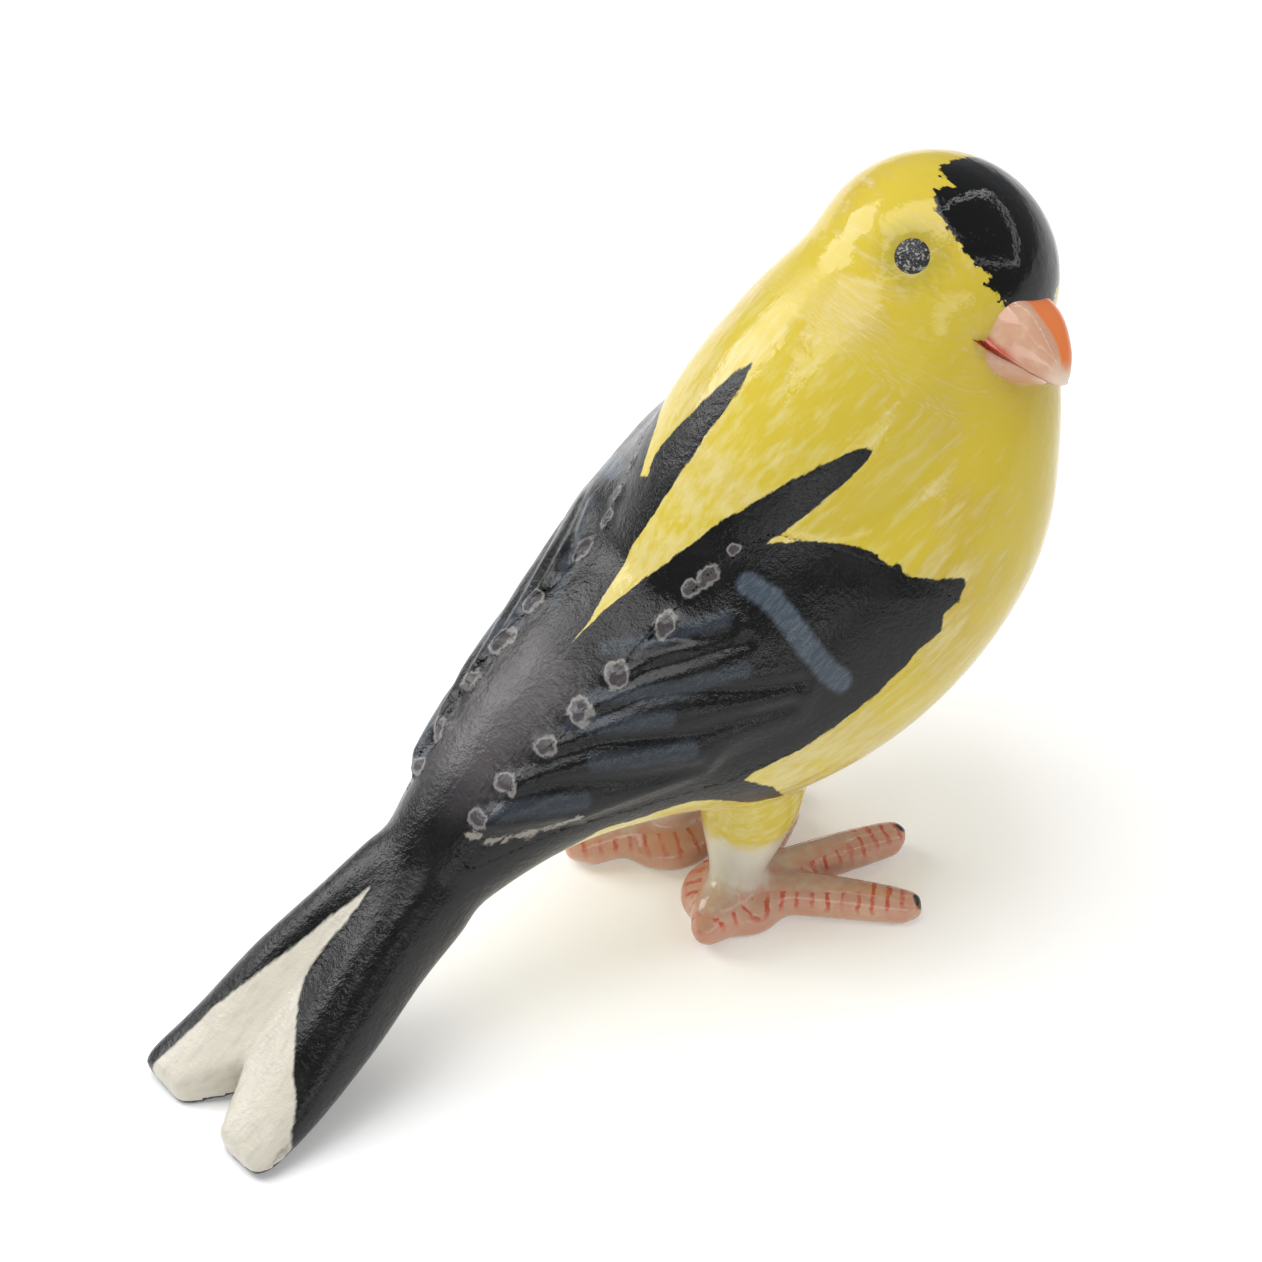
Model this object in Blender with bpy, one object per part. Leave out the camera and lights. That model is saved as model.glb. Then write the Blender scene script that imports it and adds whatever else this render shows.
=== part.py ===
"""Porcelain songbird figurine, a goldfinch standing on its feet and the tips of its tail.

Slip-cast, pressed and hand-rolled pieces are luted together, each with a slip joint of LUTE_GAP.
Metres, +Z up. The bird faces -Y, and its right side is -X. The table is at z = 0.
"""

import math

import bmesh
import bpy
from mathutils import Matrix, Vector

MM = 0.001
X_AXIS = Vector((1.0, 0.0, 0.0))
Z_AXIS = Vector((0.0, 0.0, 1.0))

# Driving dimensions of the slip-cast body, whose spine runs from the tail root up to the head's centre.
BODY_REACH = 32.1 * MM      # along Y, tail root to head centre
BODY_RISE = 24.1 * MM       # along Z, tail root to head centre
BODY_WIDTH = 21.4 * MM
BODY_DEPTH = 19.4 * MM      # back to breast, across the spine
RUMP_Y = 18.4 * MM          # the tail root, behind the feet
RUMP_HEIGHT = 9.5 * MM
WALL = 2.2 * MM             # cast wall
VENT_DIAMETER = 2.4 * MM    # lets air out of the hollow in the kiln
LUTE_GAP = 0.3 * MM         # slip joint between pieces

# Head, turned to the bird's right.
HEAD_DIAMETER = 12.9 * MM
HEAD_TURN = math.radians(80.0)
HEAD_TILT = math.radians(25.0)
EYE_DIAMETER = 1.9 * MM
EYE_SIDE = math.radians(70.0)
EYE_RAISE = math.radians(22.0)
EYE_SINK = 0.35 * MM        # the bead's centre below the head's surface

# Beak, in the head's own frame.
BEAK_LENGTH = 4.5 * MM
BEAK_ROOT = 1.2 * MM        # how deep the beak's root starts inside the head
BEAK_WIDTH = 5.2 * MM
BEAK_HEIGHT = 5.6 * MM
BEAK_DROOP = math.radians(11.0)
BEAK_RISE = 0.2 * MM        # the beak's axis starts above the head's centre
GAPE_BELOW = 0.2 * MM       # the gape below the beak's axis
LOWER_SHORTER = 0.7 * MM    # the lower mandible stops behind the upper one

# Wings, thin pressed pads seated in the flanks.
WING_THICKNESS = 0.9 * MM
WING_PROUD = 0.3 * MM       # stands this far out of the body's outline

# Tail, pressed solid, forked at the tip.
TAIL_REACH = 13.5 * MM      # along Y, behind the tail root
TAIL_WIDTH = 10.4 * MM
TAIL_THICKNESS = 5.8 * MM   # at the root
TAIL_VALLEY = 0.9 * MM      # groove along the middle of its upper side
TAIL_END_RISE = 0.7 * MM    # middle of the tail's end above the table
FORK_DEPTH = 2.0 * MM
FORK_WIDTH = 2.6 * MM

# Legs and hand-rolled feet.
ANKLE_HEIGHT = 1.2 * MM
SHANK_DIAMETER = 2.4 * MM
THIGH_DIAMETER = 7.4 * MM
LEG_LEAN = 0.8 * MM         # the thigh stands this far outside and ahead of the ankle
PAD_DIAMETER = 4.4 * MM
TOE_DIAMETER = 2.1 * MM
TOE_TIP_DIAMETER = 1.5 * MM
TOE_ROOT = 0.4 * MM         # the toe starts this far from the ankle's axis
# Each foot: its side, the ankle's x and y, then each toe's angle outwards from ahead and its length.
FEET = {
    "right": {
        "side": -1.0,
        "ankle": (-2.5 * MM, 0.2 * MM),
        "toes": (
            ("middle", 7.5, 10.0 * MM),
            ("outer", 42.0, 9.6 * MM),
            ("inner", -32.5, 7.8 * MM),
            ("hind", 153.0, 3.8 * MM),
        ),
    },
    "left": {
        "side": 1.0,
        "ankle": (3.8 * MM, 0.0 * MM),
        "toes": (
            ("middle", 28.0, 9.2 * MM),
            ("outer", 60.0, 8.0 * MM),
            ("inner", -3.0, 7.6 * MM),
            ("hind", 163.0, 5.4 * MM),
        ),
    },
}

# Body outline at stations along the spine: shares of BODY_REACH, BODY_RISE, BODY_WIDTH and BODY_DEPTH.
BODY_OUTLINE = (
    (0.000, 0.000, 0.27, 0.28),
    (0.187, 0.170, 0.48, 0.44),
    (0.364, 0.253, 0.70, 0.65),
    (0.536, 0.299, 0.91, 0.89),
    (0.723, 0.394, 1.00, 1.00),
    (0.875, 0.548, 0.99, 0.93),
    (0.945, 0.734, 0.85, 0.80),
    (0.972, 0.905, 0.66, 0.74),
)
NECK_STATION = 6            # the head is luted on here
NECK_SHARE = 0.97           # of the head's radius, where the neck runs up inside the head
# Tail outline from root to tip: shares of TAIL_REACH, of the drop to the table, of its width and thickness.
TAIL_OUTLINE = (
    (-0.03, -0.03, 0.62, 0.96),
    (0.22, 0.22, 0.70, 0.90),
    (0.48, 0.50, 0.86, 0.78),
    (0.74, 0.79, 0.96, 0.58),
    (0.93, 0.96, 1.00, 0.40),
    (1.00, 1.00, 0.94, 0.28),
)
# Wing outline: station on the spine, then its upper and lower edge as angles up from the right side.
WING_OUTLINE = (
    (5.1, 17.0, 6.0),
    (4.5, 38.0, 4.0),
    (3.8, 64.0, 2.0),
    (3.0, 69.0, -2.0),
    (2.3, 66.0, -8.0),
    (1.5, 58.0, -8.0),
    (0.9, 54.0, 4.0),
    (0.3, 49.0, 28.0),
)
# Beak outline from root to tip: share of its length, and of its width and height.
BEAK_OUTLINE = ((0.0, 1.0), (0.35, 0.88), (0.7, 0.58), (0.92, 0.27), (1.0, 0.1))
# Leg outline from ankle to spine: shares of its height, of LEG_LEAN, and from shank to thigh width.
LEG_OUTLINE = ((0.0, 0.0, 0.0), (0.12, 0.05, 0.0), (0.3, 0.3, 0.25), (0.5, 0.7, 0.6), (1.0, 1.0, 1.0))
TAIL_SQUARE = 2.0 / 3.0     # power that squares off the tail's ellipse
VALLEY_SHARE = 0.4          # the valley's width, as a share of the tail's
TOE_FULL = 0.55             # a toe keeps its full width this far along
SOLE_SHARE = 0.8            # a toe's axis above the table, in its radii, which leaves a flat sole
PAD_SHARE = 0.4             # the pad's widest level, as a share of its height, which is the toes' height
LEG_STATION = 3             # the legs run up to the spine's height here
VENT_STATION = 2
CREASE_ANGLE = math.radians(40.0)
BODY_SEGMENTS = 32
HOLLOW_SEGMENTS = 20
BEAK_SEGMENTS = 16
LIMB_SEGMENTS = 12
STEPS = 3                   # rings between two stations
LIMB_STEPS = 2
WING_STEPS = 2
WING_COLUMNS = 8
FINE_STEPS = 20             # rings between two stations where the wing reads the spine


def clear_scene():
    """Start from an empty scene."""
    for obj in list(bpy.data.objects):
        bpy.data.objects.remove(obj, do_unlink=True)


def glaze(name, colour, roughness):
    """A glazed and painted finish."""
    material = bpy.data.materials.new(name)
    material.use_nodes = True
    shader = material.node_tree.nodes["Principled BSDF"]
    shader.inputs["Base Color"].default_value = (*colour, 1.0)
    shader.inputs["Roughness"].default_value = roughness
    shader.inputs["Metallic"].default_value = 0.0
    return material


def smoothed(points, steps):
    """A Catmull-Rom curve through rows of numbers, with steps points to a span."""
    rows = [Vector(row) for row in points]
    rows = [2 * rows[0] - rows[1], *rows, 2 * rows[-1] - rows[-2]]
    curve = []
    for index in range(1, len(rows) - 2):
        before, start, end, after = rows[index - 1:index + 3]
        for step in range(steps):
            t = step / steps
            curve.append(0.5 * (2 * start + (end - before) * t
                                + (2 * before - 5 * start + 4 * end - after) * t ** 2
                                + (3 * start - before - 3 * end + after) * t ** 3))
    curve.append(rows[-2])
    return curve


def rings_along(stations, side, steps=STEPS, grow=0.0):
    """Frames along a spine from rows of (x, y, z, half width, half depth), grown on every side by grow.

    Each frame is a matrix whose X is the half width, Y the half depth and Z the way along the spine.
    """
    rows = smoothed([row[:3] for row in stations], steps)
    sizes = smoothed([(row[3], row[4], 0.0) for row in stations], steps)
    frames = []
    for index, (centre, size) in enumerate(zip(rows, sizes)):
        ahead = rows[min(index + 1, len(rows) - 1)]
        behind = rows[max(index - 1, 0)]
        along = (ahead - behind).normalized()
        across = (side - side.dot(along) * along).normalized()
        depth = along.cross(across)
        shift = 0.0
        if index == 0:
            shift = -grow
        if index == len(rows) - 1:
            shift = grow
        frame = Matrix((across * (size.x + grow), depth * (size.y + grow), along)).transposed().to_4x4()
        frame.translation = centre + along * shift
        frames.append(frame)
    return frames


def round_section(point):
    """A plain ellipse."""
    return point


def tail_section(point):
    """A squarish section with a valley along its upper side, on a unit circle's point."""
    x = math.copysign(abs(point.x) ** TAIL_SQUARE, point.x)
    y = math.copysign(abs(point.y) ** TAIL_SQUARE, point.y)
    if y < 0.0:
        y += TAIL_VALLEY / (TAIL_THICKNESS / 2.0) * math.exp(-(x / VALLEY_SHARE) ** 2)
    return Vector((x, y, 0.0))


def loft(frames, segments, section=round_section):
    """A closed skin over a ring in each frame."""
    bm = bmesh.new()
    before = []
    ends = []
    for frame in frames:
        verts = bmesh.ops.create_circle(bm, segments=segments, radius=1.0)["verts"]
        ring = list({edge for vert in verts for edge in vert.link_edges})
        for vert in verts:
            vert.co = frame @ section(vert.co)
        if before:
            bmesh.ops.bridge_loops(bm, edges=before + ring)
        if not before or frame is frames[-1]:
            ends.append(ring)
        before = ring
    for ring in ends:
        bmesh.ops.contextual_create(bm, geom=ring)
    bmesh.ops.recalc_face_normals(bm, faces=bm.faces)
    return bm


def ball(centre, radii, segments=BODY_SEGMENTS):
    """A UV sphere with its own radius along each axis."""
    bm = bmesh.new()
    matrix = Matrix.Translation(centre) @ Matrix.Diagonal((*radii, 1.0))
    bmesh.ops.create_uvsphere(bm, u_segments=segments, v_segments=segments // 2, radius=1.0, matrix=matrix)
    return bm


def block(matrix, size):
    """A box of the given size, whose bottom face's middle is at the matrix's origin."""
    bm = bmesh.new()
    place = matrix @ Matrix.Translation((0.0, 0.0, size / 2.0)) @ Matrix.Scale(size, 4)
    bmesh.ops.create_cube(bm, size=1.0, matrix=place)
    return bm


def add_object(name, bm, parent, material=None):
    """Make an object from a bmesh and free it."""
    mesh = bpy.data.meshes.new(name)
    bm.to_mesh(mesh)
    bm.free()
    mesh.shade_smooth()
    mesh.set_sharp_from_angle(angle=CREASE_ANGLE)
    obj = bpy.data.objects.new(name, mesh)
    obj.parent = parent
    if material:
        mesh.materials.append(material)
    bpy.context.scene.collection.objects.link(obj)
    return obj


def add_cutter(name, bm, parent):
    """A guide solid that is neither rendered nor a piece."""
    cutter = add_object(name, bm, parent)
    cutter.hide_render = True
    cutter.display_type = "WIRE"
    return cutter


def combine(obj, other, operation):
    """Add an exact Boolean with another object."""
    boolean = obj.modifiers.new(other.name, "BOOLEAN")
    boolean.operation = operation
    boolean.solver = "EXACT"
    boolean.object = other


def cut(obj, *cutters):
    """Take each cutter's solid away from the object."""
    for cutter in cutters:
        combine(obj, cutter, "DIFFERENCE")


def head_centre():
    """The middle of the head, at the top of the spine."""
    return Vector((0.0, RUMP_Y - BODY_REACH, RUMP_HEIGHT + BODY_RISE))


def body_stations(inset=0.0):
    """Rows along the body's spine, up to the head's centre, drawn in by inset."""
    rows = []
    for reach, rise, width, depth in BODY_OUTLINE:
        y = RUMP_Y - reach * BODY_REACH
        z = RUMP_HEIGHT + rise * BODY_RISE
        rows.append((0.0, y, z, width * BODY_WIDTH / 2.0 - inset, depth * BODY_DEPTH / 2.0 - inset))
    neck = NECK_SHARE * HEAD_DIAMETER / 2.0 - inset
    rows.append((*head_centre(), neck, neck))
    return rows


def neck_plane():
    """A frame on the spine at the neck joint, with +Z up the neck."""
    frame = rings_along(body_stations(), X_AXIS)[NECK_STATION * STEPS]
    return Matrix.Translation(frame.translation) @ frame.to_quaternion().to_matrix().to_4x4()


def head_frame():
    """The head's own frame: forward is -Y and up is +Z before it is turned and tilted."""
    turn = Matrix.Rotation(-HEAD_TURN, 4, "Z")
    tilt = Matrix.Rotation(HEAD_TILT, 4, "Y")
    return Matrix.Translation(head_centre()) @ turn @ tilt


def make_guides(parent):
    """The solids that trim the pieces: each is a piece's outer shape grown by the slip joint."""
    size = 3.0 * BODY_REACH
    up_neck = neck_plane()
    down_neck = up_neck @ Matrix.Rotation(math.pi, 4, "X")
    half_gap = Matrix.Translation((0.0, 0.0, -LUTE_GAP / 2.0))
    ground = Matrix.Rotation(math.pi, 4, "X")
    body = rings_along(body_stations(), X_AXIS, grow=LUTE_GAP)
    hollow = rings_along(body_stations(inset=WALL)[1:], X_AXIS, steps=LIMB_STEPS)
    centre = head_centre()
    outer = HEAD_DIAMETER / 2.0 + LUTE_GAP
    inner = HEAD_DIAMETER / 2.0 - WALL
    return {
        "table": add_cutter("table_guide", block(ground, size), parent),
        "above_neck": add_cutter("above_neck_guide", block(up_neck @ half_gap, size), parent),
        "below_neck": add_cutter("below_neck_guide", block(down_neck @ half_gap, size), parent),
        "body": add_cutter("body_guide", loft(body, BODY_SEGMENTS), parent),
        "hollow": add_cutter("hollow_guide", loft(hollow, HOLLOW_SEGMENTS), parent),
        "head": add_cutter("head_guide", ball(centre, [outer] * 3), parent),
        "head_hollow": add_cutter("head_hollow_guide", ball(centre, [inner] * 3, HOLLOW_SEGMENTS), parent),
    }


def make_torso(parent, material, guides, seats):
    """The hollow slip-cast body, open at the neck and vented below."""
    frames = rings_along(body_stations(), X_AXIS)
    torso = add_object("torso_shell", loft(frames, BODY_SEGMENTS), parent, material)
    belly = frames[VENT_STATION * STEPS]
    down = belly.to_quaternion().to_matrix().to_4x4() @ Matrix.Rotation(math.pi / 2.0, 4, "X")
    bm = bmesh.new()
    drill = Matrix.Translation(belly.translation) @ down @ Matrix.Translation((0.0, 0.0, BODY_DEPTH / 2.0))
    bmesh.ops.create_cone(bm, cap_ends=True, segments=LIMB_SEGMENTS, radius1=VENT_DIAMETER / 2.0,
                          radius2=VENT_DIAMETER / 2.0, depth=BODY_DEPTH, matrix=drill)
    vent = add_cutter("vent_guide", bm, parent)
    cut(torso, guides["above_neck"], guides["hollow"], vent, *seats)


def make_head(parent, material, guides, sockets):
    """The hollow head with its neck, open below."""
    head = add_object("head_shell", ball(head_centre(), [HEAD_DIAMETER / 2.0] * 3), parent, material)
    neck = rings_along(body_stations()[NECK_STATION - 1:], X_AXIS)
    combine(head, add_cutter("neck_guide", loft(neck, BODY_SEGMENTS), parent), "UNION")
    cut(head, guides["below_neck"], guides["hollow"], guides["head_hollow"], *sockets)


def make_eye(name, side, parent, material):
    """A bead of black enamel, and the socket that it sits in."""
    reach = HEAD_DIAMETER / 2.0 - EYE_SINK
    level = math.cos(EYE_RAISE)
    way = Vector((side * math.sin(EYE_SIDE) * level, -math.cos(EYE_SIDE) * level, math.sin(EYE_RAISE)))
    centre = head_frame() @ (way * reach)
    radius = EYE_DIAMETER / 2.0
    add_object(name, ball(centre, [radius] * 3, LIMB_SEGMENTS), parent, material)
    socket = ball(centre, [radius + LUTE_GAP] * 3, LIMB_SEGMENTS)
    return add_cutter(name + "_socket_guide", socket, parent)


def beak_frame():
    """The beak's own frame, drooping from the head's centre: forward is -Y and up is +Z."""
    return head_frame() @ Matrix.Translation((0.0, 0.0, BEAK_RISE)) @ Matrix.Rotation(BEAK_DROOP, 4, "X")


def beak_rings(length):
    """Frames from the beak's root inside the head to its tip."""
    place = beak_frame()
    root = HEAD_DIAMETER / 2.0 - BEAK_ROOT
    stations = []
    for share, size in BEAK_OUTLINE:
        width, height = size * BEAK_WIDTH / 2.0, size * BEAK_HEIGHT / 2.0
        stations.append((0.0, -root - share * length, 0.0, width, height))
    return [place @ frame for frame in rings_along(stations, X_AXIS, steps=LIMB_STEPS)]


def make_beak(parent, material, guides):
    """Two mandibles that meet along the gape."""
    gape = beak_frame() @ Matrix.Translation((0.0, 0.0, -GAPE_BELOW))
    half_gap = Matrix.Translation((0.0, 0.0, LUTE_GAP / 2.0))
    flipped = Matrix.Rotation(math.pi, 4, "X")
    above = add_cutter("above_gape_guide", block(gape @ flipped @ half_gap @ flipped, BODY_WIDTH), parent)
    below = add_cutter("below_gape_guide", block(gape @ half_gap @ flipped, BODY_WIDTH), parent)
    upper = add_object("upper_mandible", loft(beak_rings(BEAK_LENGTH), BEAK_SEGMENTS), parent, material)
    lower_skin = loft(beak_rings(BEAK_LENGTH - LOWER_SHORTER), BEAK_SEGMENTS)
    lower = add_object("lower_mandible", lower_skin, parent, material)
    cut(upper, below, guides["head"], guides["body"])
    cut(lower, above, guides["head"], guides["body"])


def wing_pad(name, side, inner, thickness, spread, parent, material=None):
    """A pad that follows the flank from inner to inner + thickness off the body's outline.

    Its edge is moved out all round by spread.
    """
    spine = rings_along(body_stations(), X_AXIS, steps=FINE_STEPS, grow=inner)
    station_length = (BODY_REACH ** 2 + BODY_RISE ** 2) ** 0.5 / len(BODY_OUTLINE)
    rows = [tuple(row) for row in smoothed(WING_OUTLINE, WING_STEPS)]
    front, tip = rows[0], rows[-1]
    if spread:
        rows.insert(0, (front[0] + spread / station_length, *front[1:]))
        rows.append((tip[0] - spread / station_length, *tip[1:]))
    bm = bmesh.new()
    before = []
    for station, upper, lower in rows:
        frame = spine[round(station * FINE_STEPS)]
        beyond = math.degrees(2.0 * spread / (frame.col[0].length + frame.col[1].length))
        verts = []
        for index in range(WING_COLUMNS + 1):
            angle = math.radians(lower - beyond + (upper - lower + 2.0 * beyond) * index / WING_COLUMNS)
            verts.append(bm.verts.new(frame @ Vector((side * math.cos(angle), math.sin(angle), 0.0))))
        row = [bm.edges.new(pair) for pair in zip(verts, verts[1:])]
        if before:
            bmesh.ops.bridge_loops(bm, edges=before + row)
        before = row
    bmesh.ops.recalc_face_normals(bm, faces=bm.faces)
    middle = max(bm.faces, key=lambda face: abs(face.calc_center_median().x))
    if middle.normal.x * side < 0.0:
        bmesh.ops.reverse_faces(bm, faces=bm.faces)
    pad_object = add_object(name, bm, parent, material)
    solidify = pad_object.modifiers.new("thickness", "SOLIDIFY")
    solidify.thickness = thickness
    solidify.offset = 1.0
    return pad_object


def make_wing(name, side, parent, material):
    """A thin pressed wing, and the seat for it in the torso."""
    inner = WING_PROUD - WING_THICKNESS
    wing_pad(name, side, inner, WING_THICKNESS, 0.0, parent, material)
    depth = WING_THICKNESS + 2.0 * LUTE_GAP
    seat = wing_pad(name + "_seat_guide", side, inner - LUTE_GAP, depth, LUTE_GAP, parent)
    seat.hide_render = True
    seat.display_type = "WIRE"
    return seat


def make_tail(parent, material, guides):
    """The pressed tail: a squarish bar that widens to two lobes and rests on the table."""
    stations = []
    for reach, drop, width, thickness in TAIL_OUTLINE:
        y = RUMP_Y + reach * TAIL_REACH
        z = RUMP_HEIGHT - drop * (RUMP_HEIGHT - TAIL_END_RISE)
        stations.append((0.0, y, z, width * TAIL_WIDTH / 2.0, thickness * TAIL_THICKNESS / 2.0))
    frames = rings_along(stations, X_AXIS)
    tail = add_object("tail", loft(frames, BODY_SEGMENTS, tail_section), parent, material)
    end = frames[-1]
    bm = bmesh.new()
    upright = end.to_quaternion().to_matrix().to_4x4() @ Matrix.Rotation(math.pi / 2.0, 4, "X")
    notch = Matrix.Translation(end.translation) @ upright
    notch = notch @ Matrix.Diagonal((FORK_WIDTH / 2.0, FORK_DEPTH, 1.0, 1.0))
    bmesh.ops.create_cone(bm, cap_ends=True, segments=LIMB_SEGMENTS, radius1=1.0, radius2=1.0,
                          depth=2.0 * TAIL_THICKNESS, matrix=notch)
    bmesh.ops.recalc_face_normals(bm, faces=bm.faces)
    fork = add_cutter("fork_guide", bm, parent)
    cut(tail, guides["body"], guides["table"], fork)


def pad(ankle, grow=0.0):
    """A flattened ball under the ankle."""
    radius = PAD_DIAMETER / 2.0 + grow
    height = (1.0 + SOLE_SHARE) * TOE_DIAMETER / 2.0
    middle = height * PAD_SHARE
    return ball(Vector((*ankle, middle)), (radius, radius, height - middle + grow), LIMB_SEGMENTS)


def toe(ankle, way, length, grow=0.0):
    """A rolled toe from under the ankle to a tip on the table, rounded off by the last three rings."""
    root = TOE_DIAMETER / 2.0
    tip = TOE_TIP_DIAMETER / 2.0
    side = way.cross(Z_AXIS)
    stations = []
    outline = (
        (TOE_ROOT, root),
        (TOE_FULL * length, root),
        (length - tip, tip),
        (length - 0.4 * tip, 0.8 * tip),
        (length, 0.3 * tip),
    )
    for out, radius in outline:
        centre = Vector((*ankle, radius * SOLE_SHARE)) + way * out
        stations.append((*centre, radius, radius))
    return loft(rings_along(stations, side, steps=LIMB_STEPS, grow=grow), LIMB_SEGMENTS)


def make_foot(name, foot, parent, material, guides):
    """A pad under the ankle and four toes rolled on to it, each trimmed by the ones before it."""
    palm = add_object(name + "_foot_pad", pad(foot["ankle"]), parent, material)
    cut(palm, guides["table"])
    trims = [add_cutter(name + "_pad_guide", pad(foot["ankle"], LUTE_GAP), parent)]
    pad_guide = trims[0]
    for kind, angle, length in foot["toes"]:
        turn = math.radians(angle)
        way = Vector((foot["side"] * math.sin(turn), -math.cos(turn), 0.0))
        label = name + "_" + kind + "_toe"
        piece = add_object(label, toe(foot["ankle"], way, length), parent, material)
        cut(piece, guides["table"], *trims)
        trims.append(add_cutter(label + "_guide", toe(foot["ankle"], way, length, LUTE_GAP), parent))
    return pad_guide


def make_leg(name, foot, parent, material, guides, pad_guide):
    """A flared leg from the foot pad up to the belly."""
    x, y = foot["ankle"]
    top = RUMP_HEIGHT + BODY_OUTLINE[LEG_STATION][1] * BODY_RISE
    stations = []
    for rise, lean, width in LEG_OUTLINE:
        height = ANKLE_HEIGHT + rise * (top - ANKLE_HEIGHT)
        radius = (SHANK_DIAMETER + width * (THIGH_DIAMETER - SHANK_DIAMETER)) / 2.0
        stations.append((x + foot["side"] * lean * LEG_LEAN, y - lean * LEG_LEAN, height, radius, radius))
    leg = add_object(name + "_leg", loft(rings_along(stations, X_AXIS), LIMB_SEGMENTS), parent, material)
    cut(leg, guides["body"], pad_guide)


def stand_on_origin(parent):
    """Put the middle of the whole figurine's footprint at the origin."""
    bpy.context.view_layer.update()
    graph = bpy.context.evaluated_depsgraph_get()
    corners = []
    for obj in parent.children:
        if not obj.hide_render:
            evaluated = obj.evaluated_get(graph)
            corners += [evaluated.matrix_world @ Vector(corner) for corner in evaluated.bound_box]
    for axis in (0, 1):
        values = [corner[axis] for corner in corners]
        parent.location[axis] = -(min(values) + max(values)) / 2.0


def build():
    """Make every piece and stand the figurine on the origin."""
    clear_scene()
    figurine = bpy.data.objects.new("figurine", None)
    bpy.context.scene.collection.objects.link(figurine)
    yellow = glaze("yellow_glaze", (0.76, 0.59, 0.04), 0.12)
    black = glaze("black_glaze", (0.013, 0.013, 0.015), 0.1)
    beak_glaze = glaze("beak_glaze", (0.78, 0.38, 0.22), 0.15)
    leg_glaze = glaze("leg_glaze", (0.72, 0.62, 0.5), 0.18)
    foot_glaze = glaze("foot_glaze", (0.62, 0.33, 0.22), 0.2)
    enamel = glaze("eye_enamel", (0.008, 0.008, 0.009), 0.05)

    guides = make_guides(figurine)
    seats = [make_wing("right_wing", -1.0, figurine, black), make_wing("left_wing", 1.0, figurine, black)]
    make_torso(figurine, yellow, guides, seats)
    sockets = [make_eye("right_eye", -1.0, figurine, enamel), make_eye("left_eye", 1.0, figurine, enamel)]
    make_head(figurine, yellow, guides, sockets)
    make_beak(figurine, beak_glaze, guides)
    make_tail(figurine, black, guides)
    for name, foot in FEET.items():
        pad_guide = make_foot(name, foot, figurine, foot_glaze, guides)
        make_leg(name, foot, figurine, leg_glaze, guides, pad_guide)
    stand_on_origin(figurine)


build()
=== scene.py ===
"""Looks of a porcelain songbird: a slip-cast goldfinch, hand painted and clear glazed.

One soft skin is drawn over the luted pieces, worked with feathers and furrows, cut back into those
pieces and painted. Metres, +Z up. The bird faces -Y, and its right side is -X.
"""

import math

import bmesh
import bpy
import numpy as np
from mathutils import Matrix, Vector
from mathutils.bvhtree import BVHTree


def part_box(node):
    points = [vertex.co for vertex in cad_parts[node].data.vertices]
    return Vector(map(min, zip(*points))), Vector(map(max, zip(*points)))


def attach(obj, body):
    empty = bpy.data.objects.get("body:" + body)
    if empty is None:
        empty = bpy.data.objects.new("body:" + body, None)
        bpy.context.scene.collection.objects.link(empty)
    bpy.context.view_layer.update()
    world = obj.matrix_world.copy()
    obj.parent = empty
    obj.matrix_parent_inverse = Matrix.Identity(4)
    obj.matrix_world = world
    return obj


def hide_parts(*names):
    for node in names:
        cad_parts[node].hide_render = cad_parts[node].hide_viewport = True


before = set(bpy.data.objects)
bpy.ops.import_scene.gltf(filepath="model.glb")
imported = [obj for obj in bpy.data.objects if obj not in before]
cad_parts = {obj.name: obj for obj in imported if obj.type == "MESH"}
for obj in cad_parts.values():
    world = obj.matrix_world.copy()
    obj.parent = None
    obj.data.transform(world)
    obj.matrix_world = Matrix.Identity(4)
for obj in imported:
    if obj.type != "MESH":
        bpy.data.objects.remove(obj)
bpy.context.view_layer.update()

bl_info = {
    "name": "Porcelain Goldfinch",
    "version": (1, 0, 0),
    "blender": (4, 5, 0),
    "location": "View3D > Sidebar > Goldfinch",
    "description": "Models, glazes and lights a porcelain goldfinch figurine",
    "category": "Object",
}

MM = 0.001
X_AXIS = Vector((1.0, 0.0, 0.0))
Z_AXIS = Vector((0.0, 0.0, 1.0))

# ---------------------------------------------------------------- sizes and places

# Each foot: its side, the ankle's x and y, then each toe's angle outwards from ahead and its length.
FEET = {
    "right": (-1.0, (-2.5, 0.2), {
        "middle": (7.5, 10.0), "outer": (42.0, 9.6), "inner": (-32.5, 7.8), "hind": (153.0, 3.8)}),
    "left": (1.0, (3.8, 0.0), {
        "middle": (28.0, 9.2), "outer": (60.0, 8.0), "inner": (-3.0, 7.6), "hind": (163.0, 5.4)}),
}


def pad_middle(side):
    """The middle of a foot pad in the frame."""
    low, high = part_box(side + "_foot_pad")
    return (low + high) / 2.0


# The figurine's own origin is on the table between its feet.
ORIGIN = sum(
    (pad_middle(name) - Vector((foot[1][0] * MM, foot[1][1] * MM, 0.0)) for name, foot in FEET.items()),
    Vector(),
) / 2.0
ORIGIN.z = 0.0

# Spine of the cast body from the tail root to the head's middle: y, z, half width, half depth, in mm.
SPINE = (
    (18.40, 9.50, 2.89, 2.72),
    (12.40, 13.60, 5.14, 4.27),
    (6.72, 15.60, 7.49, 6.31),
    (1.19, 16.71, 9.74, 8.63),
    (-4.81, 19.00, 10.70, 9.70),
    (-9.69, 22.71, 10.59, 9.02),
    (-11.93, 27.19, 9.10, 7.85),
    (-12.80, 31.31, 7.06, 7.18),
    (-13.70, 33.60, 6.26, 6.26),
)
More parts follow.
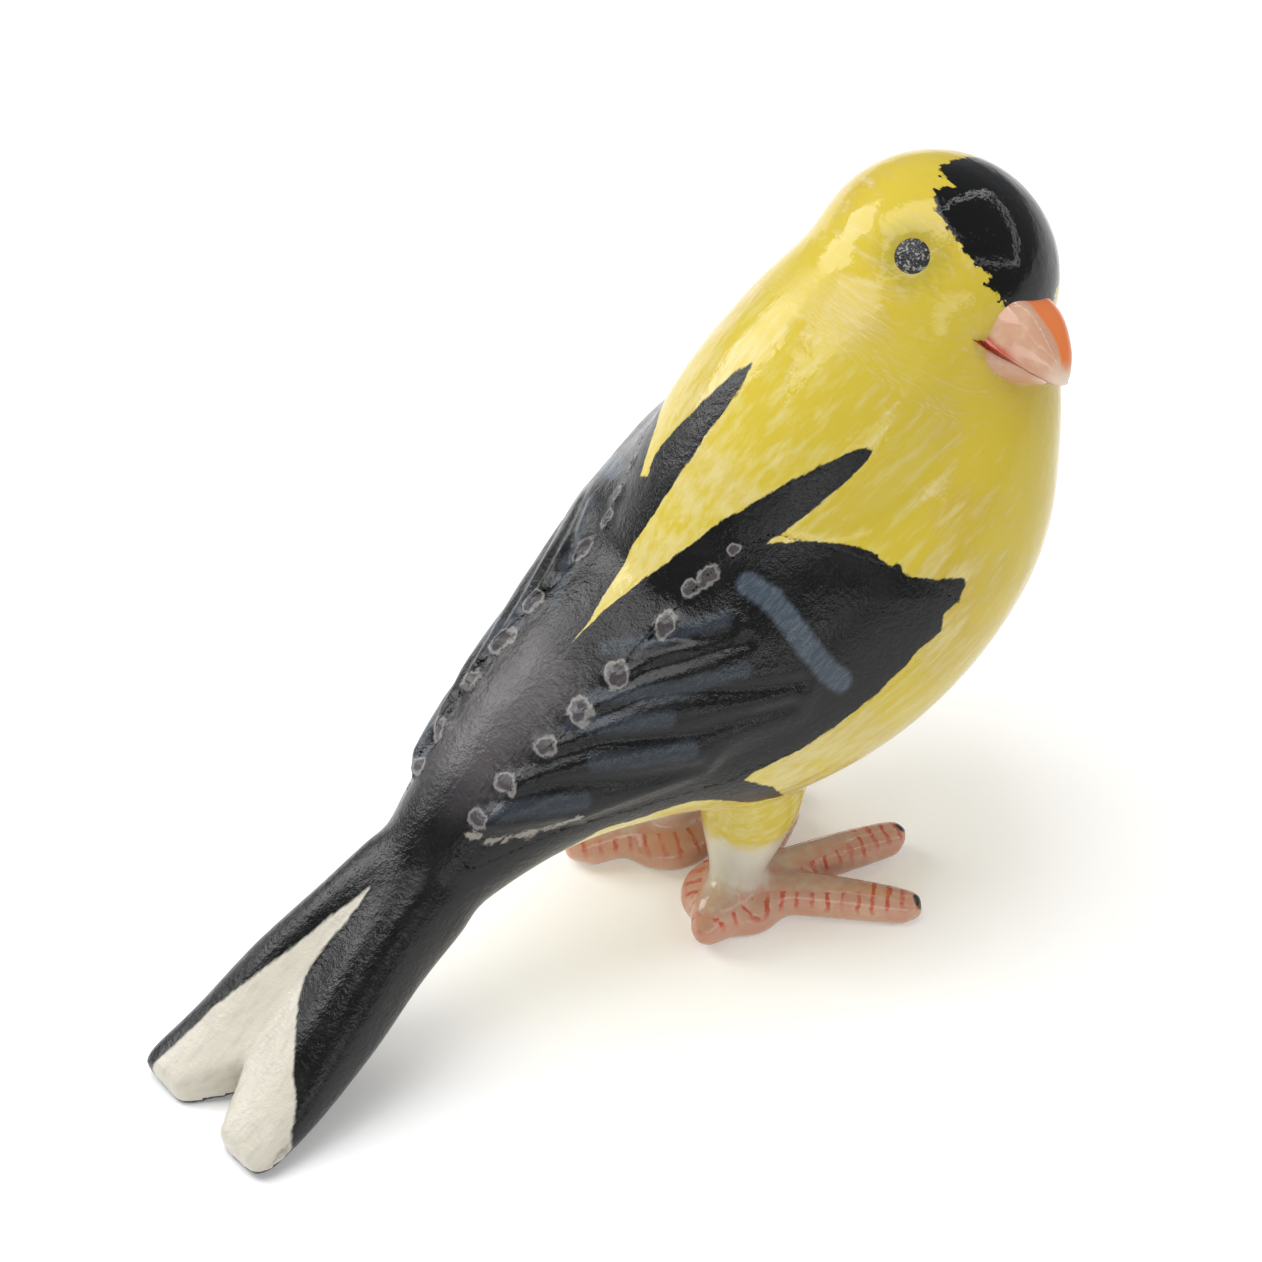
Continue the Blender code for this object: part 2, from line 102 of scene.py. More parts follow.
# Nape, which straightens the back of the neck: y, z, radius.
NAPE = (
    (-12.5, 32.5, 6.3),
    (-10.5, 30.5, 7.0),
    (-8.5, 28.5, 7.4),
    (-6.5, 26.5, 7.6),
    (-4.5, 24.5, 7.5),
    (-2.0, 22.0, 7.2),
    (1.0, 19.5, 6.2),
)
HEAD_RADIUS = 6.45
HEAD_TURN = math.radians(80.0)
HEAD_TILT = math.radians(25.0)
EYE_SIDE = math.radians(70.0)
EYE_RAISE = math.radians(22.0)
EYE_RADIUS = 0.95
# Spine of the tail: y, z, half width, half thickness.
TAIL = (
    (18.00, 9.76, 3.22, 2.78),
    (21.37, 7.56, 3.64, 2.61),
    (24.88, 5.10, 4.47, 2.26),
    (28.39, 2.55, 4.99, 1.68),
    (31.10, 1.05, 5.30, 1.16),
    (32.15, 0.75, 5.00, 0.85),
)
FORK_HALF_SIZE = (1.9, 3.4)     # of the fork's diamond: across and along the tail
# Leg: height, lean outwards and ahead, radius.
LEG = (
    (1.2, 0.0, 1.45),
    (3.0, 0.05, 1.5),
    (5.8, 0.3, 2.25),
    (8.9, 0.55, 2.9),
    (16.7, 0.8, 3.7),
)
HIND_TOE = 1.3              # how thick a toe is, as a share of its plain radius
FRONT_TOE = 1.05
SOLE_SHARE = 0.8            # a toe's axis above the table, in its radii
PAD_RADII = (2.9, 2.9, 1.5)
BEAK_LENGTH = 4.3
LOWER_SHORTER = 0.7         # how much shorter the lower mandible is
BEAK_ROOT = 5.25            # from the head's middle to the beak's root inside it
# The pressed wing shell's outline on the right, as mm along the body's axis and angle up from the
# left side.
WING = (
    (29.2, 174.4), (27.8, 157.2), (24.9, 124.9), (21.0, 118.6), (17.5, 118.9), (11.6, 121.7), (7.0, 121.1),
    (2.5, 124.1), (2.5, 141.2), (7.1, 160.2), (10.6, 176.5), (14.9, 187.5), (19.0, 189.2), (24.1, 190.2),
    (28.5, 187.7), (29.5, 184.9),
)
AXIS_START = np.array((18.4, 8.5))      # y and z where the body's straight axis leaves the tail
AXIS_WAY = np.array((-0.870, 0.493))
# How far it is from the axis to the skin, in mm, by how far along it is.
AXIS_GIRTH = ((-16.0, 4.0), (0.0, 3.5), (8.0, 6.3), (16.0, 9.0), (24.0, 10.0), (32.0, 9.5), (40.0, 8.0))
LEG_CUT = 6.8               # height where the legs leave the body
FOOT_CUT = 2.0              # height where the legs leave the foot pads
TOE_CUT = 2.3               # from the ankle's axis
LEGS_END = 8.0              # y behind which everything is body or tail
TAIL_CUT = (18.4, 9.5)      # y and z of the tail's root
TAIL_CUT_WAY = Vector((0.0, 0.826, -0.564))
NECK_RING = 6               # the spine's row where the head is luted on
# An upright plane between the inner toes: a place on it, the way that it faces, and where the paint parts.
FEET_SPLIT_AT = (0.56, 0.0, 0.0)
FEET_SPLIT_WAY = Vector((0.962, 0.272, 0.0))
PAINT_SPLIT = 0.625
SMALLEST_EDGE = 0.0003 * MM  # shorter edges, which a cut can leave, are closed up
SIDES = ((-1.0, "right"), (1.0, "left"))


def smoothed(rows, steps):
    """A Catmull-Rom curve through rows of numbers, with steps points to a span."""
    rows = [np.array(row, float) for row in rows]
    rows = [2 * rows[0] - rows[1], *rows, 2 * rows[-1] - rows[-2]]
    curve = []
    for index in range(1, len(rows) - 2):
        before, start, end, after = rows[index - 1:index + 3]
        for step in range(steps):
            t = step / steps
            curve.append(0.5 * (2 * start + (end - before) * t
                                + (2 * before - 5 * start + 4 * end - after) * t ** 2
                                + (3 * start - before - 3 * end + after) * t ** 3))
    curve.append(rows[-2])
    return curve


def rings_along(rows, side, steps):
    """Frames along a spine of (x, y, z, half width, half depth) in mm, whose X and Y are the half sizes."""
    curve = smoothed(rows, steps)
    frames = []
    for index, row in enumerate(curve):
        centre = Vector(row[:3])
        ahead = Vector(curve[min(index + 1, len(curve) - 1)][:3])
        behind = Vector(curve[max(index - 1, 0)][:3])
        along = (ahead - behind).normalized()
        across = (side - side.dot(along) * along).normalized()
        depth = along.cross(across)
        ring = Matrix((across * row[3], depth * row[4], along)).transposed().to_4x4()
        ring.translation = centre
        frames.append(ring)
    return frames


def loft(frames, segments, section=None):
    """A closed skin over a ring in each frame. A section reshapes the ring's points by its share
    of the way."""
    bm = bmesh.new()
    before = []
    ends = []
    for index, ring in enumerate(frames):
        share = index / (len(frames) - 1)
        verts = bmesh.ops.create_circle(bm, segments=segments, radius=1.0)["verts"]
        edges = list({edge for vert in verts for edge in vert.link_edges})
        for vert in verts:
            vert.co = ring @ (section(vert.co, share) if section else vert.co)
        if before:
            bmesh.ops.bridge_loops(bm, edges=before + edges)
        if not before or ring is frames[-1]:
            ends.append(edges)
        before = edges
    for edges in ends:
        bmesh.ops.contextual_create(bm, geom=edges)
    bmesh.ops.recalc_face_normals(bm, faces=bm.faces)
    return bm


def ball(centre, radii, segments=48):
    """A UV sphere with its own radius along each axis."""
    bm = bmesh.new()
    matrix = Matrix.Translation(centre) @ Matrix.Diagonal((*radii, 1.0))
    bmesh.ops.create_uvsphere(bm, u_segments=segments, v_segments=segments // 2, radius=1.0, matrix=matrix)
    return bm


def head_frame():
    """The head's own frame: forward is -Y and up is +Z before it is turned and tilted."""
    middle = Vector((0.0, SPINE[-1][0], SPINE[-1][1]))
    turned = Matrix.Rotation(-HEAD_TURN, 4, "Z") @ Matrix.Rotation(HEAD_TILT, 4, "Y")
    return Matrix.Translation(middle) @ turned


def beak_frame():
    """The beak's own frame, drooping from the head's middle: forward is -Y and up is +Z."""
    return head_frame() @ Matrix.Translation((0.0, 0.0, 0.2)) @ Matrix.Rotation(math.radians(11.0), 4, "X")


# ---------------------------------------------------------------- the clay

def tail_section(point, share):
    """A squarish section with a valley along its upper side, which starts behind the rump."""
    x = math.copysign(abs(point.x) ** (2.0 / 3.0), point.x)
    y = math.copysign(abs(point.y) ** (2.0 / 3.0), point.y)
    if y < 0.0:
        y += 0.31 * min(1.0, share / 0.4) * math.exp(-(x / 0.4) ** 2)
    return Vector((x, y, 0.0))


def tail_clay():
    """The tail bar, less the fork at its tip."""
    frames = rings_along([(0.0, *row) for row in TAIL], X_AXIS, 6)
    return loft(frames, 96, tail_section)


def fork_clay():
    """What the fork leaves out: an upright bar of diamond section, half of it ahead of the tail's end."""
    frames = rings_along([(0.0, *row) for row in TAIL], X_AXIS, 6)
    end = frames[-1]
    upright = end.to_quaternion().to_matrix().to_4x4() @ Matrix.Rotation(math.pi / 2.0, 4, "X")
    place = Matrix.Translation(end.translation) @ upright @ Matrix.Diagonal((*FORK_HALF_SIZE, 1.0, 1.0))
    bm = bmesh.new()
    bmesh.ops.create_cone(bm, cap_ends=True, segments=4, radius1=1.0, radius2=1.0, depth=12.0, matrix=place)
    bmesh.ops.recalc_face_normals(bm, faces=bm.faces)
    return bm


def toe_way(foot, toe):
    """The way a toe points, on the table."""
    turn = math.radians(FEET[foot][2][toe][0])
    return Vector((FEET[foot][0] * math.sin(turn), -math.cos(turn), 0.0))


def toe_clay(foot, toe):
    """A rolled toe with an arch under it and a rounded tip on the table."""
    length = FEET[foot][2][toe][1]
    full = HIND_TOE if toe == "hind" else FRONT_TOE
    way = toe_way(foot, toe)
    ankle = Vector((*FEET[foot][1], 0.0))
    rows = []
    for out, radius, lift in (
        (0.4, 1.25, 0.0),
        (0.35 * length, 1.12, 0.22),
        (0.62 * length, 1.05, 0.16),
        (length - 0.85, 0.9, 0.0),
        (length - 0.4, 0.72, 0.0),
        (length, 0.3, 0.05),
    ):
        radius *= full
        rows.append((*(ankle + way * out + Z_AXIS * (SOLE_SHARE * radius + lift)), radius, radius))
    return loft(rings_along(rows, way.cross(Z_AXIS), 4), 32)


def leg_clay(foot):
    """A flared leg from the foot pad up into the belly."""
    side, (x, y), _ = FEET[foot]
    rows = [(x + side * lean, y - lean, height, radius, radius) for height, lean, radius in LEG]
    return loft(rings_along(rows, X_AXIS, 5), 40)


def shapes():
    """Every closed shape that the skin is drawn over, with how far its joins are softened, in mm."""
    body = loft(rings_along([(0.0, *row) for row in SPINE], X_AXIS, 8), 96)
    head = ball(Vector((0.0, SPINE[-1][0], SPINE[-1][1])), [HEAD_RADIUS + 0.05] * 3, 96)
    nape = loft(rings_along([(0.0, y, z, radius, radius) for y, z, radius in NAPE], X_AXIS, 4), 64)
    found = [(body, 2.0), (head, 2.0), (nape, 2.0), (tail_clay(), 1.6)]
    for foot, (_, ankle, toes) in FEET.items():
        found.append((leg_clay(foot), 1.5))
        found.append((ball(Vector((*ankle, PAD_RADII[2] / 2.0)), PAD_RADII, 40), 1.3))
        for toe in toes:
            found.append((toe_clay(foot, toe), 0.9))
    return found


def mesh_of(name, bm):
    """A mesh made from a bmesh, which it frees."""
    mesh = bpy.data.meshes.new(name)
    bm.to_mesh(mesh)
    bm.free()
    return mesh


def applied(obj):
    """The object's mesh with its modifiers applied. The object is removed."""
    graph = bpy.context.evaluated_depsgraph_get()
    mesh = bpy.data.meshes.new_from_object(obj.evaluated_get(graph))
    old = obj.data
    bpy.data.objects.remove(obj)
    bpy.data.meshes.remove(old)
    return mesh


def linked(name, mesh):
    """An object for a mesh, in the scene."""
    obj = bpy.data.objects.new(name, mesh)
    bpy.context.scene.collection.objects.link(obj)
    return obj


def points_of(mesh):
    """The mesh's points as rows."""
    points = np.empty(len(mesh.vertices) * 3, np.float32)
    mesh.vertices.foreach_get("co", points)
    return points.reshape(-1, 3).astype(float)


def normals_of(mesh):
    """The smooth normals at the mesh's points, as rows."""
    normals = np.empty(len(mesh.vertices) * 3, np.float32)
    mesh.vertex_normals.foreach_get("vector", normals)
    return normals.reshape(-1, 3).astype(float)


def put_points(mesh, points):
    """Move the mesh's points."""
    mesh.vertices.foreach_set("co", points.astype(np.float32).ravel())
    mesh.update()


def put_values(mesh, name, values):
    """Keep a number, or a row of three, at each point of the mesh."""
    values = np.asarray(values, np.float32)
    kind, key = ("FLOAT", "value") if values.ndim == 1 else ("FLOAT_VECTOR", "vector")
    attribute = mesh.attributes.get(name) or mesh.attributes.new(name, kind, "POINT")
    attribute.data.foreach_set(key, values.ravel())


def ease(value, low, high):
    """A soft step from 0 at low to 1 at high."""
    t = np.clip((value - low) / (high - low), 0.0, 1.0)
    return t * t * (3.0 - 2.0 * t)


def join_weights(points, found):
    """How near each point is to where two shapes meet, from 0 to 1."""
    nearest = np.full((2, len(points)), 9.0)
    rows = [Vector(point) for point in points]
    for tree, soft in found:
        share = np.full(len(points), 9.0)
        for index, point in enumerate(rows):
            hit = tree.find_nearest(point, soft)
            if hit[3] is not None:
                share[index] = hit[3] / soft
        second = np.maximum(nearest[0], share)
        nearest[0] = np.minimum(nearest[0], share)
        nearest[1] = np.minimum(nearest[1], second)
    return 1.0 - ease(nearest[1], 0.35, 1.0)


def trunk_weights(points):
    """1 on the body and head, fading out towards the legs and the tail."""
    return ease(points[:, 2], 7.2, 10.0) * (1.0 - ease(points[:, 1], 14.0, 18.0))


def draw_skin(grain):
    """One mesh in mm over all the shapes, softened where they meet."""
    found = shapes()
    trees = [(BVHTree.FromBMesh(bm), soft) for bm, soft in found]
    every = bmesh.new()
    for index, (bm, _) in enumerate(found):
        mesh = mesh_of("shape", bm)
        if index == 3:
            tail = linked("tail_shape", mesh)
            fork = linked("fork_shape", mesh_of("fork", fork_clay()))
            cut = tail.modifiers.new("fork", "BOOLEAN")
            cut.object = fork
            mesh = applied(tail)
            bpy.data.objects.remove(fork)
        every.from_mesh(mesh)
        bpy.data.meshes.remove(mesh)
    skin = linked("skin", mesh_of("skin", every))
    remesh = skin.modifiers.new("skin", "REMESH")
    remesh.mode = "VOXEL"
    remesh.voxel_size = grain
    skin = linked("skin", applied(skin))
    points = points_of(skin.data)
    back = points[:, 1]
    for name, weights, times in (
        ("joins", join_weights(points, trees), 26),
        ("trunk", trunk_weights(points), 160),
        ("rump_sheen", ease(back, 11.0, 16.0) * (1.0 - ease(back, 19.0, 24.0)), 90),
        ("tail_tip", ease(back, 27.5, 30.5), 22),
        ("even", np.ones(len(points)), 3),
    ):
        soften(skin, name, weights, times)
    return applied(skin)


def soften(obj, name, weights, times):
    """Smooth the object where the weights say."""
    group = obj.vertex_groups.new(name=name)
    for index in np.flatnonzero(weights > 0.01):
        group.add([int(index)], float(weights[index]), "REPLACE")
    smooth = obj.modifiers.new(name, "SMOOTH")
    smooth.vertex_group = name
    smooth.factor = 0.5
    smooth.iterations = times


# ---------------------------------------------------------------- where things are on the body

def body_chart(points):
    """For each point how far it is along the body's axis from the tail's root in mm, its angle up
    from the left
    side in degrees, and its place in mm along, across and up."""
    off = points[:, 1:] - AXIS_START
    along, rise = off @ AXIS_WAY, off @ (AXIS_WAY[::-1] * (1.0, -1.0))
    angle = np.degrees(np.arctan2(rise, points[:, 0]))
    angle = np.where(angle < -90.0, angle + 360.0, angle)
    return along, angle, np.stack([along, points[:, 0], rise], axis=1)


# ---------------------------------------------------------------- painted outlines

# Places on the body are mm along its axis and degrees up from its left side: 90 is the back, 180
# the right side.

# Shoulder and lower edge of the black on the right, from the shoulder to behind the tail.
BLACK_EDGE = (
    (28.2, 165.4), (28.7, 169.2), (29.2, 172.9), (29.8, 176.0), (30.5, 180.0), (29.4, 183.5), (28.4, 182.7),
    (27.7, 186.6), (26.2, 185.8), (25.0, 187.2), (23.4, 188.4), (21.5, 187.7), (19.1, 188.2), (17.2, 187.5),
    (15.5, 189.4), (15.8, 193.4), (16.4, 200.2), (16.7, 216.7), (15.4, 212.5), (14.1, 199.3), (13.1, 191.2),
    (11.6, 188.2), (10.5, 187.9), (8.7, 179.6), (2.5, 215.0), (1.0, 235.0), (-1.0, 275.0), (-22.0, 275.0),
)
# Right half of the black: up the back stripe and over the shoulder, then down the edge to the tail.
RIGHT_BLACK = (
    (3.0, 60.0), (14.3, 94.2), (16.9, 95.3), (18.8, 98.6), (20.5, 104.6), (22.3, 109.1), (23.5, 111.3),
    (24.8, 114.6), (26.2, 117.3), (27.8, 120.6), (29.1, 123.0), (30.4, 125.8), (31.4, 129.2), (30.8, 131.1),
    (29.5, 131.1), (27.9, 130.5), (26.3, 129.5), (25.1, 128.4), (24.3, 127.2), (25.6, 134.4), (27.0, 144.2),
    (27.8, 153.1), (28.0, 160.3), (28.4, 161.0), *BLACK_EDGE, (-22.0, 60.0),
)
# Left half: a narrower back stripe, a sliver of yellow, then the right half's edge mirrored.
LEFT_BLACK = (
    (3.0, 120.0), (14.3, 94.2), (15.7, 93.2), (17.7, 87.5), (19.6, 84.9), (21.3, 87.7), (23.0, 89.5),
    (24.7, 90.2), (26.5, 90.4), (28.0, 91.3), (29.4, 90.3), (30.3, 88.7), (29.4, 85.8), (28.1, 83.5),
    (26.4, 80.1), (25.1, 76.5), (23.9, 74.5), (22.9, 76.1), (22.6, 72.0), (23.4, 69.7), (24.9, 65.5),
    (26.4, 56.6), *[(mark, 180.0 - turn) for mark, turn in BLACK_EDGE], (-22.0, 120.0),
)
# The folded wing's relief on the right: the ridge, the shoulder, the lower edge and the tip.
WING_RELIEF = (
    (3.8, 121.5), (8.2, 118.8), (13.5, 119.9), (18.1, 122.2), (21.3, 119.4), (24.5, 124.7), (25.9, 133.3),
    (27.4, 147.9), (28.8, 163.7), (28.1, 174.8), (24.6, 177.8), (20.7, 178.3), (17.2, 177.8), (14.0, 178.2),
    (11.1, 172.1), (8.2, 163.2), (7.2, 154.0), (4.7, 136.8),
)
# Knobs along the wing's ridge where the feathers start, and how big each is.
KNOBS = (
    (23.0, 120.7, 0.5), (21.3, 119.4, 0.8), (20.1, 118.6, 0.7), (18.1, 121.0, 1.0), (14.6, 121.3, 1.05),
    (11.9, 121.0, 1.0), (9.5, 119.3, 0.95), (6.9, 119.5, 0.85), (4.6, 120.2, 0.7),
)
WING_BAR = (
    (22.3, 132.1), (22.6, 141.7), (22.4, 152.1), (22.2, 160.2), (22.1, 170.0), (22.3, 176.2),
)
STROKES = (
    ((15.1, 108.7), (17.4, 124.1), (20.3, 135.3)),
    ((13.0, 120.1), (15.8, 141.2), (19.1, 152.3)),
    ((11.2, 121.4), (13.0, 136.8), (14.8, 147.8)),
    ((10.7, 140.5), (12.6, 153.2), (14.6, 162.5)),
    ((5.0, 120.5), (6.9, 136.3), (9.0, 151.1)),
)
FURROWS = (
    ((17.2, 122.3), (18.7, 135.5), (20.0, 140.7)),
    ((13.8, 123.8), (15.9, 130.6), (18.2, 139.6), (20.2, 146.4)),
    ((10.9, 123.4), (14.6, 135.3), (18.4, 157.9), (20.8, 167.7)),
    ((8.5, 123.0), (11.6, 136.4), (15.6, 160.4), (19.7, 171.6)),
    ((6.0, 121.8), (8.8, 137.0), (11.9, 160.2), (14.4, 172.3)),
)
TIP_LEDGE = (
    (3.8, 121.5), (4.3, 135.0), (6.4, 150.1), (7.2, 154.0), (8.4, 157.4),
)
# The black cap's right edge from behind to the beak, as degrees to the side of straight ahead and up.
CAP = (
    (155.5, 86.6), (97.9, 70.3), (84.0, 64.5), (62.6, 62.9), (78.4, 56.5), (73.0, 50.0), (69.0, 45.7),
    (
        58.1, 39.9,
    ), (52.6, 36.4), (46.1, 31.8), (37.7, 26.2), (28.9, 22.8), (32.0, 19.1), (23.5, 14.9), (16.0, 8.0),
)
CAP_MIDDLE = (0.0, 50.0)
# The white wedge on the tail, in mm.
TAIL_WHITE = (
    (0.1, 21.3), (0.8, 23.0), (1.4, 24.8), (2.2, 26.7), (3.4, 29.0), (3.9, 31.6), (4.6, 34.0), (-5.4, 34.0),
    (-5.2, 30.0), (-4.3, 29.0), (-3.4, 28.6), (-2.6, 27.9), (-1.8, 27.3), (-0.6, 26.3), (0.1, 25.4),
    (0.2, 24.3), (0.0, 22.7),
)
# Half widths of the painted lines, in mm.
BAR_REACH = 0.6
STROKE_REACH = 0.42
LEDGE_REACH = 0.16
CLAW_REACH = 0.5
OUTSIDE = 9.0               # mm: far from any outline


def flat_place(rows):
    """Places along the axis and angles unrolled to mm: how far along, and how far round to the
    right of the back."""
    along, angle = np.asarray(rows, float).T
    marks, girths = np.array(AXIS_GIRTH).T
    return np.stack([along, np.radians(angle - 90.0) * np.interp(along, marks, girths)], axis=1)


def inside_by(places, outline):
    """How far each place is inside a closed outline: negative outside it."""
    gap = np.full(len(places), 1e6)
    within = np.zeros(len(places), bool)
    for start, end in zip(outline, np.roll(outline, -1, axis=0)):
        gap = np.minimum(gap, gap_to(places, start, end))
        crosses = (start[1] > places[:, 1]) != (end[1] > places[:, 1])
        rise = end[1] - start[1]
        at = start[0] + (places[:, 1] - start[1]) * (end[0] - start[0]) / (rise if rise else 1.0)
        within ^= crosses & (places[:, 0] < at)
    return np.where(within, gap, -gap)


def gap_to(places, start, end):
    """The distance from each place to a straight line between two others."""
    step = np.asarray(end, float) - start
    share = np.clip((places - start) @ step / (step @ step), 0.0, 1.0)
    return np.linalg.norm(places - start - share[:, None] * step, axis=1)


def gap_to_line(places, line):
    """The distance from each place to a line of several points."""
    return np.min([gap_to(places, start, end) for start, end in zip(line[:-1], line[1:])], axis=0)


def on_head(points):
    """Places in the head's frame as directions, and the distance from its middle in mm."""
    into = np.array(head_frame().inverted())
    local = points @ into[:3, :3].T + into[:3, 3]
    reach = np.linalg.norm(local, axis=1)
    return local / reach[:, None], reach


def head_way(side, rise):
    """A direction in the head's frame from degrees to the right of ahead and degrees up."""
    side, rise = math.radians(side), math.radians(rise)
    return np.array([-math.sin(side) * math.cos(rise), -math.cos(side) * math.cos(rise), math.sin(rise)])


def flat_cap(ways):
    """Directions from the head's middle laid flat around the cap's middle, in mm."""
    middle = head_way(*CAP_MIDDLE)
    east = np.array([-1.0, 0.0, 0.0])
    north = np.cross(east, middle)
    turn = np.arccos(np.clip(ways @ middle, -1.0, 1.0))
    flat = np.stack([ways @ east, ways @ north], axis=1)
    length = np.linalg.norm(flat, axis=1)
    return flat / np.maximum(length, 1e-9)[:, None] * turn[:, None] * HEAD_RADIUS


def eye_place(side):
    """The middle of an eye on the head's surface, in mm."""
    level = math.cos(EYE_RAISE)
    way = Vector((side * math.sin(EYE_SIDE) * level, -math.cos(EYE_SIDE) * level, math.sin(EYE_RAISE)))
    return head_frame() @ (way * HEAD_RADIUS)


# ---------------------------------------------------------------- working and painting the clay

# Relief in mm: how high or deep it is, and how wide.
WING_RISE = 0.28
WING_TIP_RISE = 0.3         # more towards the tip
KNOB_RISE, KNOB_REACH = 0.3, 0.62
FURROW_DEPTH, FURROW_REACH = 0.14, 0.36
BURR_RISE, BURR_AWAY, BURR_REACH = 0.06, 0.75, 0.5     # the clay that a furrow pushes up beside it
SOCKET_DEPTH, SOCKET_REACH = 0.3, 1.25


def round_back(points):
    """The same places seen from the right side and, mirrored, from the left: unrolled to mm."""
    along, angle, _ = body_chart(points)
    return [flat_place(np.stack([along, turned], axis=1)) for turned in (angle, 180.0 - angle)]


def gap_from(points, place):
    """The distance from each point to one place."""
    return np.linalg.norm(points - np.array(place), axis=1)


def bump(gap, reach):
    """A round hill of height 1."""
    return np.exp(-(gap / reach) ** 2)


def work_clay(mesh):
    """Raise the folded wings and their knobs, press the furrows and the eye sockets, and flatten
    the soles."""
    points = points_of(mesh)
    normals = normals_of(mesh)
    along = body_chart(points)[0]
    lift = np.zeros(len(points))
    for places in round_back(points):
        inside = inside_by(places, flat_place(WING_RELIEF))
        rise = WING_RISE + WING_TIP_RISE * (1.0 - ease(along, 3.5, 15.0))
        # The edge stands up sharply by the tip, and rises slowly at the shoulder.
        lift += rise * ease(inside / (1.0 + 3.0 * ease(along, 14.0, 22.0)), -0.15, 0.75)
        for mark, turn, size in KNOBS:
            gap = gap_from(places, flat_place([(mark, turn)])[0])
            lift += KNOB_RISE * size * bump(gap, KNOB_REACH * size)
        for line in FURROWS:
            gap = gap_to_line(places, flat_place(line))
            lift += BURR_RISE * bump(gap - BURR_AWAY, BURR_REACH) - FURROW_DEPTH * bump(gap, FURROW_REACH)
    for side, _ in SIDES:
        lift -= SOCKET_DEPTH * bump(gap_from(points, eye_place(side)), SOCKET_REACH)
    points += normals * lift[:, None]
    points[:, 2] = np.maximum(points[:, 2], 0.0)
    put_points(mesh, points)


def paint_clay(mesh):
    """Keep, at each point, how far inside each colour's outline it is, in mm, and its place along the brush
    strokes."""
    points = points_of(mesh)
    right, left = round_back(points)
    ways, reach = on_head(points)
    near = ease(points[:, 1], -4.0, -6.0)
    edge = [head_way(*row) for row in CAP] + [head_way(-side, rise) for side, rise in reversed(CAP)]
    on_crown = (near > 0.0) & (reach < HEAD_RADIUS + 1.5)
    on_tail = (normals_of(mesh)[:, 2] > -0.35) & (points[:, 1] > 20.0)
    found = {
        "black": np.maximum(
            *[inside_by(right, flat_place(outline)) for outline in (RIGHT_BLACK, LEFT_BLACK)],
        ),
        "cap": np.where(on_crown, inside_by(flat_cap(ways), flat_cap(np.array(edge))), -OUTSIDE),
        "white": np.where(on_tail, inside_by(points[:, :2], np.array(TAIL_WHITE)), -OUTSIDE),
        "eye": np.min([gap_from(points, eye_place(side)) for side, _ in SIDES], axis=0),
        "knob": np.full(len(points), OUTSIDE),
    }
    for name, lines, half in (("bar", (WING_BAR,), BAR_REACH), ("brushed", STROKES, STROKE_REACH),
                              ("bare", (TIP_LEDGE,), LEDGE_REACH)):
        gaps = [gap_to_line(places, flat_place(line)) for places in (right, left) for line in lines]
        found[name] = half - np.min(gaps, axis=0)
    for places in (right, left):
        for mark, turn, size in KNOBS:
            gap = gap_from(places, flat_place([(mark, turn)])[0])
            found["knob"] = np.minimum(found["knob"], gap / size)
    # Strokes run along the body's axis, and round the head's own.
    head = (ease(reach, HEAD_RADIUS + 2.5, HEAD_RADIUS + 0.5) * near)[:, None]
    found["strokes"] = body_chart(points)[2] * (1.0 - head) + ways[:, [1, 2, 0]] * HEAD_RADIUS * head
    for name, values in found.items():
        put_values(mesh, name, values)
    paint_feet(mesh, points)


def paint_feet(mesh, points):
    """Keep how far out along its toe each point is, and how near the claw marks, in mm."""
    out = np.zeros(len(points))
    claw = np.full(len(points), -OUTSIDE)
    for foot, (side, ankle, toes) in FEET.items():
        own = foot_side(points) == side
        best = np.full(len(points), -OUTSIDE)
        for toe, (_, length) in toes.items():
            way = np.array(toe_way(foot, toe))
            best = np.maximum(best, (points[:, :2] - ankle) @ way[:2])
            if toe != "hind":
                tip = np.array([*ankle, 1.25]) + way * (length - 0.05)
                claw = np.maximum(claw, np.where(own, CLAW_REACH - gap_from(points, tip), -OUTSIDE))
        out = np.where(own, best, out)
    put_values(mesh, "out", out)
    put_values(mesh, "claw", claw)


def foot_side(points):
    """-1 by the right foot and 1 by the left one."""
    return np.where(points @ np.array(FEET_SPLIT_WAY) > PAINT_SPLIT, 1.0, -1.0)


def wing_inside(points):
    """How far each point is inside a wing's outline, in mm: above zero on either wing."""
    return np.maximum(*[inside_by(places, flat_place(WING)) for places in round_back(points)])


def finish_clay(mesh):
    """Keep the whole clay's normals and the wings' outlines, then bring it to metres in the frame."""
    put_values(mesh, "whole_normal", normals_of(mesh))
    put_values(mesh, "wing", wing_inside(points_of(mesh)))
    put_points(mesh, points_of(mesh) * MM + np.array(ORIGIN))
    mesh.shade_smooth()


def held(mesh, name):
    """An attribute of the mesh's points, as numbers or rows."""
    attribute = mesh.attributes[name]
    wide = 1 if attribute.data_type == "FLOAT" else 3
    values = np.empty(len(attribute.data) * wide, np.float32)
    attribute.data.foreach_get("value" if wide == 1 else "vector", values)
    return values if wide == 1 else values.reshape(-1, 3)


# ---------------------------------------------------------------- cutting the clay into its pieces

def in_frame(x, y, z):
    """A place given in mm from the figurine's own origin, in the frame."""
    return Vector((x, y, z)) * MM + ORIGIN


def neck_plane():
    """The plane across the neck where the head is luted on."""
    frames = rings_along([(0.0, *row) for row in SPINE], X_AXIS, 1)
    ring = frames[NECK_RING]
    return in_frame(*ring.translation), ring.col[2].to_3d().normalized()


def tail_plane():
    """The plane across the tail's root."""
    return in_frame(0.0, *TAIL_CUT), TAIL_CUT_WAY


